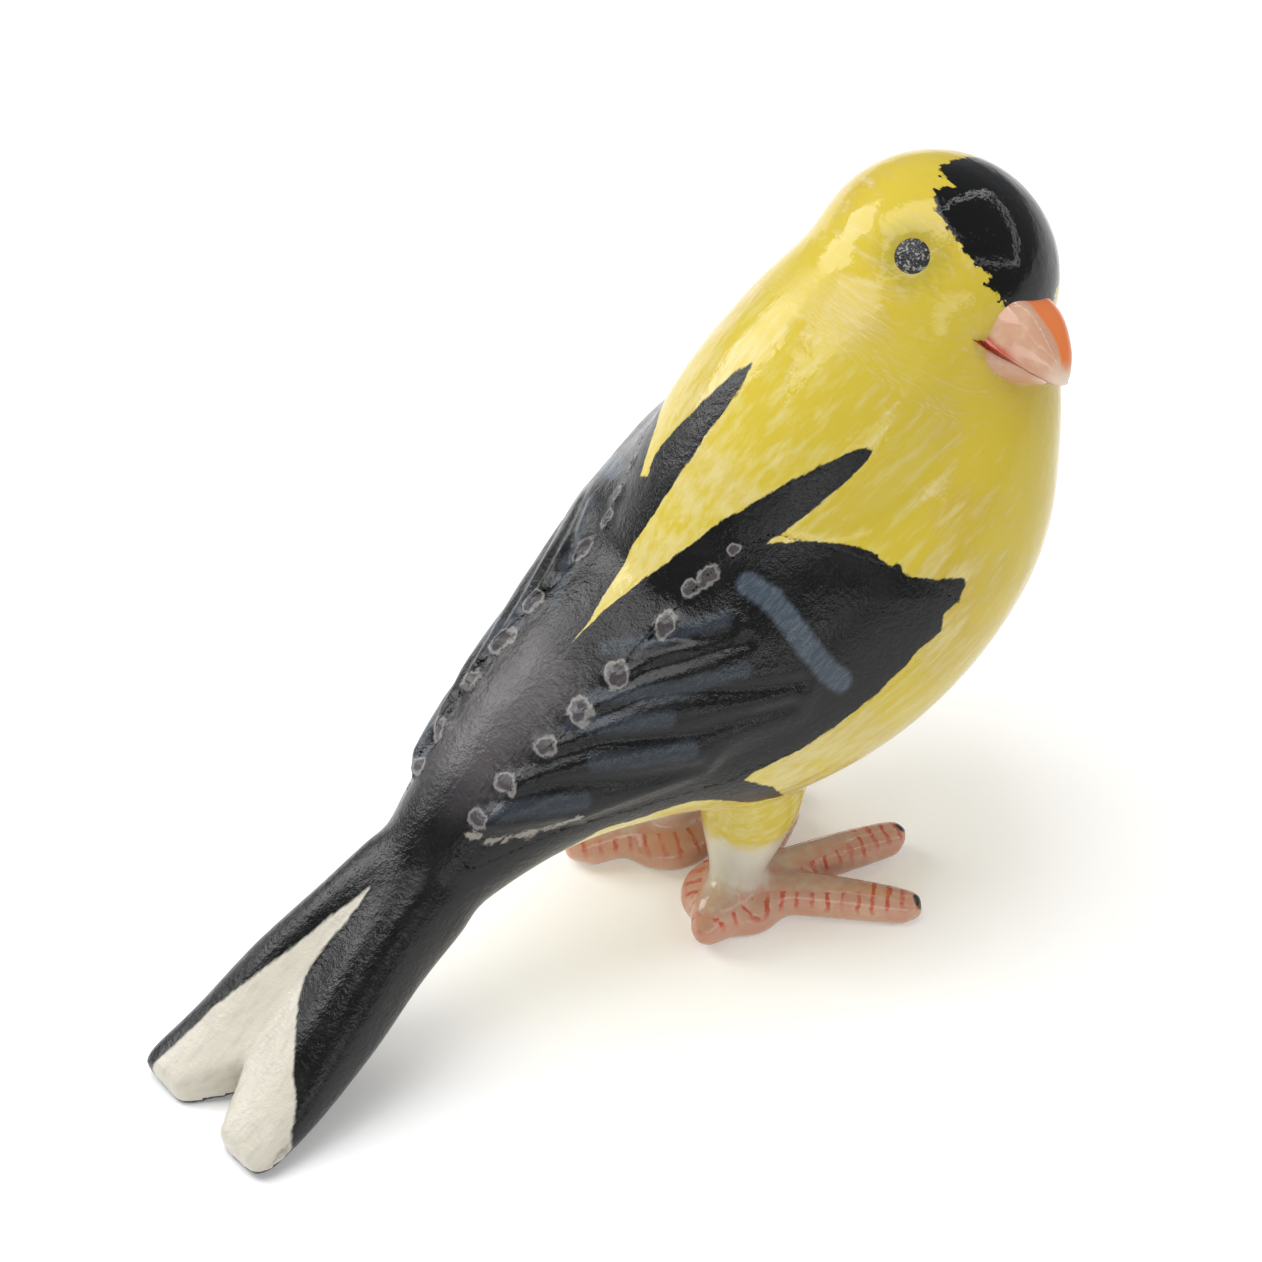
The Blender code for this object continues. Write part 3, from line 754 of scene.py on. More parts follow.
def carved(mesh, planes, kept):
    """The clay cut along planes, without the faces that aren't kept and with its cuts closed flat."""
    bm = bmesh.new()
    bm.from_mesh(mesh)
    for place, way in planes:
        geometry = bm.verts[:] + bm.edges[:] + bm.faces[:]
        bmesh.ops.bisect_plane(bm, geom=geometry, plane_co=place, plane_no=way, dist=1e-7)
        bmesh.ops.remove_doubles(bm, verts=bm.verts, dist=SMALLEST_EDGE)
    bmesh.ops.delete(
        bm, geom=[face for face in bm.faces if not kept(face.calc_center_median())], context="FACES",
    )
    rims = [edge for edge in bm.edges if edge.is_boundary]
    caps = bmesh.ops.holes_fill(bm, edges=rims, sides=0)["faces"] if rims else []
    for face in caps:
        face.smooth = False
    bmesh.ops.triangulate(bm, faces=caps)
    bmesh.ops.recalc_face_normals(bm, faces=bm.faces)
    if bm.calc_volume(signed=True) < 0.0:
        bmesh.ops.reverse_faces(bm, faces=bm.faces)
    return bm


def keep_shading(mesh):
    """Give the cut pieces the whole clay's shading, so that no join shows. Closed cuts stay flat."""
    corners = np.empty(len(mesh.loops), np.int32)
    mesh.loops.foreach_get("vertex_index", corners)
    counts = np.empty(len(mesh.polygons), np.int32)
    mesh.polygons.foreach_get("loop_total", counts)
    smooth = np.empty(len(mesh.polygons), bool)
    mesh.polygons.foreach_get("use_smooth", smooth)
    normals = held(mesh, "whole_normal")[corners]
    normals[~np.repeat(smooth, counts)] = 0.0
    mesh.normals_split_custom_set(normals.tolist())


def piece(name, mesh, material, nodes):
    """A finished piece: in the scene, glazed, and standing for its CAD nodes."""
    made = linked(name, mesh)
    mesh.materials.clear()
    mesh.materials.append(material)
    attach(made, "root")
    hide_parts(*nodes)
    return made


def clay_piece(name, bm, material, nodes):
    """A finished piece of the cut clay."""
    mesh = mesh_of(name, bm)
    keep_shading(mesh)
    return piece(name, mesh, material, nodes)


def is_leg(place):
    """Whether a place in the frame belongs to a leg or a foot: low down, and ahead of the tail."""
    return place.z <= LEG_CUT * MM and place.y < in_frame(0.0, LEGS_END, 0.0).y


def beyond(plane, place):
    """Whether a place is on the far side of a plane."""
    return (place - plane[0]).dot(plane[1]) > 0.0


def foot_planes(foot):
    """Planes out along each toe and between each two of them."""
    _, ankle, toes = FEET[foot]
    middle = in_frame(*ankle, 0.0)
    ways = {toe: toe_way(foot, toe) for toe in toes}
    ends = {toe: (middle + way * TOE_CUT * MM, way) for toe, way in ways.items()}
    between = {toe: [(middle, (way - other).normalized()) for name, other in ways.items() if name != toe]
               for toe, way in ways.items()}
    return ends, between


# ---------------------------------------------------------------- glazes

def colour(code):
    """An sRGB hex colour as the linear numbers that Blender takes."""
    parts = [int(code[index:index + 2], 16) / 255.0 for index in (0, 2, 4)]
    return (*[part / 12.92 if part <= 0.04045 else ((part + 0.055) / 1.055) ** 2.4 for part in parts], 1.0)


def add(tree, kind, settings, output=0):
    """Add a node, set its properties and its inputs' values or links, and give back one of its outputs."""
    made = tree.nodes.new("ShaderNode" + kind)
    for name, value in settings.items():
        if isinstance(name, str) and hasattr(made, name):
            setattr(made, name, value)
        elif isinstance(value, bpy.types.NodeSocket):
            tree.links.new(value, made.inputs[name])
        else:
            made.inputs[name].default_value = colour(value) if isinstance(value, str) else value
    return made.outputs[output]


# A soft step of input 0 from 0 at input 1 to 1 at input 2.
SOFT_STEP = {"interpolation_type": "SMOOTHSTEP"}
# Colours 6 and 7 mixed by input 0.
MIXED = {"data_type": "RGBA"}
# Input 2 plus input 0 times input 1.
SCALED_SUM = {"operation": "MULTIPLY_ADD"}
TIMES = {"operation": "MULTIPLY"}


def glaze(name, roughness):
    """A new glazed ceramic: its tree and its shader. Clear lead-free glaze has an IOR of about 1.5."""
    made = bpy.data.materials.new(name)
    made.use_nodes = True
    tree = made.node_tree
    tree.nodes.clear()
    surface = add(tree, "BsdfPrincipled", {"Roughness": roughness, "IOR": 1.5})
    shown = tree.nodes.new("ShaderNodeOutputMaterial")
    tree.links.new(surface, shown.inputs["Surface"])
    return made, tree, surface.node


def mottling(tree, place, scale, detail=3.0, rough=0.5, stretch=(1.0, 1.0, 1.0)):
    """Cloudy mottling centred on zero, in features to a unit of the place given."""
    moved = add(tree, "Mapping", {"Scale": stretch, "Vector": place})
    clouds = add(tree, "TexNoise", {"Scale": scale, "Detail": detail, "Roughness": rough, "Vector": moved})
    return add(tree, "Math", {"operation": "SUBTRACT", 0: clouds, 1: 0.5})


def in_mm(tree):
    """The place on the object in mm."""
    place = add(tree, "TexCoord", {}, "Object")
    return add(tree, "Mapping", {"Scale": (1000.0, 1000.0, 1000.0), "Vector": place})


def pitted(tree, shader, place, strength):
    """Orange peel of the fired glaze: shallow waves of under a millimetre."""
    waves = mottling(tree, place, 1.6, 4.0, 0.6)
    bump = add(tree, "Bump", {"Strength": strength, "Distance": 0.05 * MM, "Height": waves})
    tree.links.new(bump, shader.inputs["Normal"])


def plumage_porcelain(paints):
    """Hand-painted underglaze on slip-cast porcelain: streaky yellow and a thick black under a clear, wet gloss,
    with a painted sheen on the yellow towards the tail and on the rump, and painted reflections round the wing
    knobs."""
    made, tree, shader = glaze("painted plumage porcelain", 0.16)
    shader.inputs["IOR"].default_value = 1.4
    strokes = add(tree, "Attribute", {"attribute_name": "strokes"}, "Vector")
    place = in_mm(tree)
    streaks = mottling(tree, strokes, 1.0, 4.0, 0.58, (0.45, 2.3, 2.3))
    hairs = mottling(tree, strokes, 1.0, 3.0, 0.6, (1.2, 7.0, 7.0))
    patches = mottling(tree, place, 0.16, 2.0, 0.5)
    edge = mottling(tree, strokes, 1.0, 4.0, 0.6, (1.1, 3.2, 3.2))
    # Yellow thins to the pale body between brush strokes and pools to gold. It also pales steadily from the
    # breast towards the tail: a painted sheen.
    # Place along the body: it pales the yellow towards the tail, a painted sheen.
    length = add(tree, "SeparateXYZ", {0: place}, 1)
    thin_paint_and_sheen = add(tree, "Math", {
        **SCALED_SUM, 0: length, 1: 0.012,
        2: add(tree, "Math", {**SCALED_SUM, 0: patches, 1: 0.7, 2: streaks}),
    })
    thin_paint_and_sheen = add(tree, "MapRange", {**SOFT_STEP, 0: thin_paint_and_sheen, 1: -0.24, 2: 0.2})
    deep = add(tree, "MapRange", {
        **SOFT_STEP, 0: add(tree, "Math", {**SCALED_SUM, 0: streaks, 1: 0.6, 2: patches}), 1: -0.06,
        2: 0.22,
    })
    yellow = add(tree, "Mix", {**MIXED, 0: deep, 6: paints.yellow_hex, 7: paints.gold_hex}, 2)
    yellow = add(tree, "Mix", {
        **MIXED, 0: add(tree, "Math", {**TIMES, 0: thin_paint_and_sheen, 1: 0.6}), 6: yellow, 7: "DDD59C",
    }, 2)
    # Darker olive yellow round each eye.
    darker_round_eye = add(tree, "MapRange", {
        **SOFT_STEP,
        0: add(tree, "Math", {
            **SCALED_SUM, 0: edge, 1: 1.6, 2: add(tree, "Attribute", {"attribute_name": "eye"}, "Fac"),
        }),
        1: 2.5, 2: 0.9,
    })
    yellow = add(tree, "Mix", {
        **MIXED, 0: add(tree, "Math", {**TIMES, 0: darker_round_eye, 1: 0.5}), 6: yellow, 7: "8E8436",
    }, 2)
    # Black: nearly opaque, greyer where the brush ran dry.
    worn = add(tree, "MapRange", {
        **SOFT_STEP, 0: add(tree, "Math", {**SCALED_SUM, 0: streaks, 1: 0.7, 2: hairs}), 1: 0.12,
        2: 0.34,
    })
    black = add(tree, "Mix", {**MIXED, 0: worn, 6: paints.black_hex, 7: "232325"}, 2)
    grey = add(tree, "Mix", {
        **MIXED, 0: add(tree, "MapRange", {**SOFT_STEP, 0: hairs, 1: -0.1, 2: 0.25}),
        6: paints.blue_grey_hex, 7: "4D565F",
    }, 2)
    pale = add(tree, "Mix", {
        **MIXED, 0: add(tree, "MapRange", {**SOFT_STEP, 0: hairs, 1: -0.1, 2: 0.25}), 6: "434C56",
        7: "5D6872",
    }, 2)
    for name, most, laid_colour in (("brushed", 0.45, grey), ("bar", 0.85, pale)):
        laid = add(tree, "MapRange", {
            **SOFT_STEP,
            0: add(tree, "Math", {
                **SCALED_SUM, 0: edge, 1: 0.35,
                2: add(tree, "Attribute", {"attribute_name": name}, "Fac"),
            }),
            1: -0.2, 2: 0.2,
        })
        black = add(tree, "Mix", {
            **MIXED, 0: add(tree, "Math", {**TIMES, 0: laid, 1: most}), 6: black, 7: laid_colour,
        }, 2)
    # Painted sheen: between the wings the black is painted a paler grey, standing in for the glaze's reflection
    # there.
    marks = add(tree, "SeparateXYZ", {0: strokes}).node.outputs
    mark = add(tree, "Math", {**SCALED_SUM, 0: patches, 1: 9.0, 2: marks[0]})
    rump_sheen = add(tree, "Math", {
        **TIMES, 0: add(tree, "MapRange", {**SOFT_STEP, 0: mark, 1: 17.0, 2: 12.0}),
        1: add(tree, "MapRange", {**SOFT_STEP, 0: mark, 1: 2.0, 2: 7.0}),
    })
    across = add(tree, "Math", {"operation": "ABSOLUTE", 0: marks[1]})
    rump_sheen = add(tree, "Math", {
        **TIMES, 0: rump_sheen,
        1: add(tree, "MapRange", {
            **SOFT_STEP, 0: add(tree, "Math", {**SCALED_SUM, 0: hairs, 1: 3.0, 2: across}), 1: 3.6,
            2: 1.2,
        }),
    })
    black = add(tree, "Mix", {**MIXED, 0: rump_sheen, 6: black, 7: "4A4648"}, 2)
    # Painted reflections: a paler heart on each knob and a pale ring round it, standing in for the gloss's
    # reflections on the knobs.
    round_knob = add(tree, "Math", {
        **SCALED_SUM, 0: mottling(tree, place, 0.75, 4.0, 0.6), 1: 1.9,
        2: add(tree, "Attribute", {"attribute_name": "knob"}, "Fac"),
    })
    knob_heart_reflection = add(tree, "MapRange", {**SOFT_STEP, 0: round_knob, 1: 0.6, 2: 0.4})
    black = add(tree, "Mix", {
        **MIXED, 0: add(tree, "Math", {**TIMES, 0: knob_heart_reflection, 1: 0.7}), 6: black, 7: "4E484B",
    }, 2)
    apart = add(tree, "Math", {"operation": "SUBTRACT", 0: round_knob, 1: 0.62})
    ring = add(tree, "MapRange", {
        **SOFT_STEP, 0: add(tree, "Math", {"operation": "ABSOLUTE", 0: apart}), 1: 0.2, 2: 0.0,
    })
    ring = add(tree, "Math", {
        **TIMES, 0: ring, 1: add(tree, "MapRange", {**SOFT_STEP, 0: patches, 1: -0.2, 2: 0.0}),
    })
    # The pale ring round each knob is a painted reflection.
    black = add(tree, "Mix", {
        **MIXED, 0: add(tree, "Math", {**TIMES, 0: ring, 1: 0.55}), 6: black, 7: "A5A19B",
    }, 2)
    bare = add(tree, "MapRange", {
        **SOFT_STEP,
        0: add(tree, "Math", {
            **SCALED_SUM, 0: edge, 1: 1.1,
            2: add(tree, "Attribute", {"attribute_name": "bare"}, "Fac"),
        }),
        1: -0.05, 2: 0.15,
    })
    black = add(tree, "Mix", {
        **MIXED, 0: add(tree, "Math", {**TIMES, 0: bare, 1: 0.7}), 6: black, 7: "A79F93",
    }, 2)
    winged = add(tree, "MapRange", {
        **SOFT_STEP,
        0: add(tree, "Math", {
            **SCALED_SUM, 0: edge, 1: 0.42,
            2: add(tree, "Attribute", {"attribute_name": "black"}, "Fac"),
        }),
        1: -0.06, 2: 0.06,
    })
    capped = add(tree, "MapRange", {
        **SOFT_STEP,
        0: add(tree, "Math", {
            **SCALED_SUM, 0: edge, 1: 1.1, 2: add(tree, "Attribute", {"attribute_name": "cap"}, "Fac"),
        }),
        1: -0.06, 2: 0.06,
    })
    inked = add(tree, "Math", {"operation": "MAXIMUM", 0: winged, 1: capped})
    painted = add(tree, "Mix", {**MIXED, 0: inked, 6: yellow, 7: black}, 2)
    white = add(tree, "Mix", {
        **MIXED, 0: add(tree, "MapRange", {**SOFT_STEP, 0: streaks, 1: -0.1, 2: 0.3}),
        6: paints.white_hex, 7: "B9B4A6",
    }, 2)
    cleared = add(tree, "MapRange", {
        **SOFT_STEP,
        0: add(tree, "Math", {
            **SCALED_SUM, 0: edge, 1: 0.35,
            2: add(tree, "Attribute", {"attribute_name": "white"}, "Fac"),
        }),
        1: -0.12, 2: 0.08,
    })
    painted = add(tree, "Mix", {**MIXED, 0: cleared, 6: painted, 7: white}, 2)
    tree.links.new(painted, shader.inputs["Base Color"])
    # The thick black fires to a duller, pebbled gloss than the yellow.
    dull = add(tree, "MapRange", {
        **SOFT_STEP, 0: mottling(tree, place, 0.45, 3.0, 0.6), 1: -0.15, 2: 0.2,
    })
    dull = add(tree, "MapRange", {0: dull, 3: 0.1, 4: 0.3})
    dull = add(tree, "Math", {**TIMES, 0: dull, 1: winged})
    tree.links.new(
        add(tree, "Math", {"operation": "MAXIMUM", 0: dull, 1: 0.05}), shader.inputs["Roughness"],
    )
    pebbles = add(tree, "Math", {**TIMES, 0: mottling(tree, place, 3.4, 3.0, 0.7), 1: winged})
    height = add(tree, "Math", {
        **SCALED_SUM, 0: pebbles, 1: 0.9,
        2: add(tree, "Math", {**SCALED_SUM, 0: hairs, 1: 0.12, 2: mottling(tree, place, 0.8, 3.0, 0.5)}),
    })
    bump = add(tree, "Bump", {"Strength": 0.7, "Distance": 0.08 * MM, "Height": height})
    tree.links.new(bump, shader.inputs["Normal"])
    return made


def leg_porcelain(paints):
    """Bare white porcelain leg under clear glaze: yellow runs down onto it and pink comes up from
    the foot."""
    made, tree, shader = glaze("pale leg porcelain", 0.12)
    place = in_mm(tree)
    height = add(tree, "SeparateXYZ", {0: place}, 2)
    wavy = add(tree, "Math", {**SCALED_SUM, 0: mottling(tree, place, 0.9, 4.0, 0.6), 1: 2.4, 2: height})
    clouds = mottling(tree, place, 0.5, 3.0, 0.5)
    pale = add(tree, "Mix", {
        **MIXED, 0: add(tree, "MapRange", {**SOFT_STEP, 0: clouds, 1: -0.1, 2: 0.25}),
        6: paints.white_hex, 7: "D2CAB4",
    }, 2)
    pale = add(tree, "Mix", {
        **MIXED, 0: add(tree, "MapRange", {**SOFT_STEP, 0: wavy, 1: 3.4, 2: 1.6}), 6: pale,
        7: paints.pink_hex,
    }, 2)
    tree.links.new(
        add(tree, "Mix", {
            **MIXED, 0: add(tree, "MapRange", {**SOFT_STEP, 0: wavy, 1: 5.6, 2: 7.0}), 6: pale,
            7: paints.yellow_hex,
        }, 2),
        shader.inputs["Base Color"],
    )
    pitted(tree, shader, place, 0.5)
    return made


def foot_porcelain(paints):
    """Flesh-pink wash with thin red-brown strokes across the toes and a dab of black on each claw."""
    made, tree, shader = glaze("painted foot porcelain", 0.14)
    place = in_mm(tree)
    height = add(tree, "SeparateXYZ", {0: place}, 2)
    clouds = mottling(tree, place, 0.7, 4.0, 0.6)
    blots = mottling(tree, place, 1.7, 3.0, 0.6)
    flesh = add(tree, "Mix", {
        **MIXED, 0: add(tree, "MapRange", {**SOFT_STEP, 0: clouds, 1: -0.15, 2: 0.2}),
        6: paints.pink_hex, 7: "CBA48A",
    }, 2)
    out = add(tree, "Math", {
        **SCALED_SUM, 0: blots, 1: 0.5, 2: add(tree, "Attribute", {"attribute_name": "out"}, "Fac"),
    })
    turn = add(tree, "Math", {**TIMES, 0: out, 1: 2.0 * math.pi / 0.78})
    bars = add(tree, "MapRange", {
        **SOFT_STEP, 0: add(tree, "Math", {"operation": "SINE", 0: turn}), 1: 0.35, 2: 0.85,
    })
    upper = add(tree, "MapRange", {
        **SOFT_STEP, 0: add(tree, "Math", {**SCALED_SUM, 0: clouds, 1: 1.2, 2: height}), 1: 0.9,
        2: 1.6,
    })
    fading = add(tree, "MapRange", {**SOFT_STEP, 0: clouds, 1: -0.22, 2: 0.1})
    amount = add(tree, "Math", {**TIMES, 0: bars, 1: upper})
    amount = add(tree, "Math", {**TIMES, 0: amount, 1: fading})
    flesh = add(tree, "Mix", {**MIXED, 0: amount, 6: flesh, 7: paints.stroke_hex}, 2)
    flesh = add(tree, "Mix", {
        **MIXED, 0: add(tree, "MapRange", {**SOFT_STEP, 0: height, 1: 0.5, 2: 0.1}), 6: flesh,
        7: "DCCDB8",
    }, 2)
    clawed = add(tree, "MapRange", {
        **SOFT_STEP,
        0: add(tree, "Math", {
            **SCALED_SUM, 0: blots, 1: 0.5,
            2: add(tree, "Attribute", {"attribute_name": "claw"}, "Fac"),
        }),
        1: -0.02, 2: 0.12,
    })
    tree.links.new(
        add(tree, "Mix", {**MIXED, 0: clawed, 6: flesh, 7: "2A2422"}, 2), shader.inputs["Base Color"],
    )
    pitted(tree, shader, place, 0.6)
    return made


def beak_porcelain(paints):
    """Peach wash under clear glaze, orange along the culmen and brick red in the gape."""
    made, tree, shader = glaze("painted beak porcelain", 0.08)
    place = in_mm(tree)
    parts = add(tree, "SeparateXYZ", {
        0: add(tree, "Attribute", {"attribute_name": "beak"}, "Vector"),
    }).node.outputs
    blots = mottling(tree, place, 0.8, 4.0, 0.6)
    peach = add(tree, "Mix", {
        **MIXED, 0: add(tree, "MapRange", {**SOFT_STEP, 0: blots, 1: -0.1, 2: 0.25}),
        6: paints.beak_hex, 7: "D2AE92",
    }, 2)
    peach = add(tree, "Mix", {
        **MIXED, 0: add(tree, "MapRange", {**SOFT_STEP, 0: parts[1], 1: 0.8, 2: 1.05}), 6: peach,
        7: "E2CCB6",
    }, 2)
    culmen = add(tree, "MapRange", {
        **SOFT_STEP, 0: add(tree, "Math", {**SCALED_SUM, 0: blots, 1: 0.8, 2: parts[0]}), 1: -0.2,
        2: 0.15,
    })
    above = add(tree, "MapRange", {**SOFT_STEP, 0: parts[2], 1: 0.5, 2: 1.1})
    amount = add(tree, "Math", {**TIMES, 0: culmen, 1: above})
    peach = add(tree, "Mix", {**MIXED, 0: amount, 6: peach, 7: paints.orange_hex}, 2)
    gape = add(tree, "Math", {
        "operation": "ABSOLUTE", 0: add(tree, "Math", {**SCALED_SUM, 0: blots, 1: 0.3, 2: parts[2]}),
    })
    corner = add(tree, "Math", {
        **TIMES, 0: add(tree, "MapRange", {**SOFT_STEP, 0: gape, 1: 0.5, 2: 0.1}),
        1: add(tree, "MapRange", {**SOFT_STEP, 0: parts[1], 1: 0.75, 2: 0.25}),
    })
    peach = add(tree, "Mix", {**MIXED, 0: corner, 6: peach, 7: "BE452B"}, 2)
    tree.links.new(peach, shader.inputs["Base Color"])
    pitted(tree, shader, place, 0.4)
    return made


def glinting_eye_enamel(paints):
    """Black enamel with fine bumps of about 0.15 mm, its glints painted into the colour as silvery specks."""
    made, tree, shader = glaze("glinting eye enamel", 0.3)
    place = in_mm(tree)
    glint_specks = mottling(tree, place, 4.6, 2.0, 0.7)
    # Silvery specks in the colour: painted glints.
    lit = add(tree, "MapRange", {**SOFT_STEP, 0: glint_specks, 1: 0.03, 2: 0.11})
    tree.links.new(
        add(tree, "Mix", {**MIXED, 0: lit, 6: paints.eye_hex, 7: "8C8C84"}, 2),
        shader.inputs["Base Color"],
    )
    bump = add(tree, "Bump", {"Strength": 1.0, "Distance": 0.12 * MM, "Height": glint_specks})
    tree.links.new(bump, shader.inputs["Normal"])
    return made


def table_card():
    """Matt white paper: very faintly mottled, so that only soft shadows show on it."""
    made, tree, shader = glaze("matt white table card", 0.75)
    fibres = mottling(tree, in_mm(tree), 0.02, 3.0, 0.5)
    tree.links.new(
        add(tree, "Mix", {
            **MIXED, 0: add(tree, "MapRange", {**SOFT_STEP, 0: fibres, 1: -0.3, 2: 0.3}), 6: "FBFBFB",
            7: "F8F8F8",
        }, 2),
        shader.inputs["Base Color"],
    )
    shader.inputs["Emission Color"].default_value = colour("FFFFFF")
    shader.inputs["Emission Strength"].default_value = 0.16
    return made


# ---------------------------------------------------------------- beak and eyes

# Faces of the beak's section as degrees up from its left side and distance from the middle.
UPPER_FACES = ((10.0, 1.0), (170.0, 1.0), (48.0, 1.08), (132.0, 1.08), (90.0, 0.92))
LOWER_FACES = ((-18.0, 1.0), (198.0, 1.0), (-62.0, 0.95), (242.0, 0.95))
GAPE_UP = 0.2               # the gape above the beak's axis at its root
GAPE_DROP = 0.3             # how far it curves down by the tip
BEAK_ROWS = ((0.0, 1.0), (0.35, 0.9), (0.7, 0.6), (0.9, 0.33), (0.97, 0.2), (1.0, 0.08))


def beak_piece(name, faces, length, slot_material):
    """One mandible: a faceted cone from inside the head to a blunt tip."""
    def section(point, _):
        way = math.atan2(point.y, point.x)
        pull = sum(max(0.0, math.cos(way - math.radians(turn)) / reach) ** 16.0 for turn, reach in faces)
        reach = min(pull ** (-1.0 / 16.0) if pull > 0.0 else 1.5, 1.5)
        x, y = reach * math.cos(way), reach * math.sin(way)
        return Vector((x, max(y, 0.01) if faces is UPPER_FACES else min(y, -0.01), 0.0))

    rows = []
    for share, size in smoothed(BEAK_ROWS, 5):
        drop = GAPE_UP - GAPE_DROP * share ** 2
        rows.append((0.0, -BEAK_ROOT - share * length, drop, 2.65 * size, 2.55 * size))
    bm = loft(rings_along(rows, X_AXIS, 1), 64, section)
    bmesh.ops.remove_doubles(bm, verts=bm.verts, dist=1e-5)
    bmesh.ops.recalc_face_normals(bm, faces=bm.faces)
    for face in bm.faces:
        face.smooth = True
    mesh = mesh_of(name, bm)
    points = points_of(mesh)
    share = (-points[:, 1] - BEAK_ROOT) / length
    put_values(mesh, "beak", np.stack([points[:, 0] + 0.9 * (1.0 - share), share, points[:, 2] - GAPE_UP + GAPE_DROP * share ** 2],
                                    axis=1))
    mesh.transform(Matrix.Translation(ORIGIN) @ Matrix.Scale(MM, 4) @ beak_frame())
    return piece(name + "_glazed", mesh, slot_material, [name])


def eye_piece(name, side, material):
    """A low bead of enamel, pressed into its socket."""
    level = math.cos(EYE_RAISE)
    way = Vector((side * math.sin(EYE_SIDE) * level, -math.cos(EYE_SIDE) * level, math.sin(EYE_RAISE)))
    outwards = way.to_track_quat("Z", "Y").to_matrix().to_4x4()
    place = head_frame() @ Matrix.Translation(way * (HEAD_RADIUS - 0.4)) @ outwards
    bm = bmesh.new()
    bmesh.ops.create_uvsphere(bm, u_segments=48, v_segments=32, radius=1.0)
    bmesh.ops.scale(bm, vec=(EYE_RADIUS, EYE_RADIUS, 0.4), verts=bm.verts)
    bmesh.ops.transform(bm, matrix=Matrix.Translation(ORIGIN) @ Matrix.Scale(MM, 4) @ place, verts=bm.verts)
    for face in bm.faces:
        face.smooth = True
    return piece(name + "_bead", mesh_of(name, bm), material, [name])


# ---------------------------------------------------------------- what a user can change

class GoldfinchSizes(bpy.types.PropertyGroup):
    """Sizes of the modelling work."""

    grain: bpy.props.FloatProperty(
        name="Clay grain",
        description="Spacing of the points on the clay's skin, in mm", default=0.2, min=0.18, max=0.6)
    wing_depth: bpy.props.FloatProperty(
        name="Wing thickness", description="Thickness of the pressed wing shells", default=0.45 * MM,
        unit="LENGTH", subtype="DISTANCE", precision=5)
    light_strength: bpy.props.FloatProperty(
        name="Light", description="Strength of all the studio lights together", default=1.0, min=0.0)


def paint_property(label, description, code):
    """A colour that a user can change."""
    return bpy.props.FloatVectorProperty(name=label, description=description, default=colour(code), size=4,
                                         subtype="COLOR", min=0.0, max=1.0)


class GoldfinchPaints(bpy.types.PropertyGroup):
    """Colours of the underglaze paints."""

    yellow_hex: paint_property("Yellow", "Plumage yellow", "C8B23C")
    gold_hex: paint_property("Gold", "Where the yellow pools", "BC9E28")
    black_hex: paint_property("Black", "Wings, tail and cap", "090909")
    blue_grey_hex: paint_property("Blue-grey", "Wing bar and feather strokes", "3B434D")
    white_hex: paint_property("White", "Tail wedge and bare porcelain", "C9C3B4")
    pink_hex: paint_property("Flesh pink", "Feet", "C6937B")
    stroke_hex: paint_property("Red-brown", "Strokes across the toes", "C05638")
    beak_hex: paint_property("Peach", "Beak", "C99A7E")
    orange_hex: paint_property("Orange", "Culmen of the beak", "E27A3C")
    eye_hex: paint_property("Eye", "Eye beads", "16161A")


def paints():
    """The colours now set in the scene."""
    return bpy.context.scene.goldfinch_paints


def material_for(maker):
    """One material for all the pieces that share a finish."""
    found = bpy.data.materials.get(maker.__name__)
    if not found:
        found = maker(paints())
        found.name = maker.__name__
    return found


def clay():
    """The worked and painted clay."""
    found = bpy.data.meshes.get("clay")
    if not found:
        raise RuntimeError("Press the clay first")
    return found


# ---------------------------------------------------------------- operators

class GOLDFINCH_OT_clay(bpy.types.Operator):
    """Draw one skin over the bird, work its relief and lay out its paint"""

    bl_idname = "goldfinch.clay"
    bl_label = "Press the clay"

    def execute(self, context):
        mesh = draw_skin(context.scene.goldfinch_sizes.grain)
        work_clay(mesh)
        paint_clay(mesh)
        finish_clay(mesh)
        mesh.name = "clay"
        mesh.use_fake_user = True
        return {"FINISHED"}


class GOLDFINCH_OT_body(bpy.types.Operator):
    """Cut out the hollow body and the head that is luted onto it"""

    bl_idname = "goldfinch.body"
    bl_label = "Body and head"

    def execute(self, context):
        neck, tail = neck_plane(), tail_plane()
        leg = (in_frame(0.0, 0.0, LEG_CUT), Z_AXIS)
        material = material_for(plumage_porcelain)
        head = carved(clay(), [neck], lambda place: beyond(neck, place))
        clay_piece("head_glazed", head, material, ["head_shell"])
        body = carved(clay(), [neck, tail, leg],
                      lambda place: not (beyond(neck, place) or beyond(tail, place) or is_leg(place)))
        mesh = mesh_of("torso_glazed", body)
        depth = context.scene.goldfinch_sizes.wing_depth + 0.05 * MM
        sunk = ease(held(mesh, "wing"), 0.2, 0.35) * depth
        keep_shading(mesh)
        put_points(mesh, points_of(mesh) - held(mesh, "whole_normal") * sunk[:, None])
        piece("torso_glazed", mesh, material, ["torso_shell"])
        return {"FINISHED"}


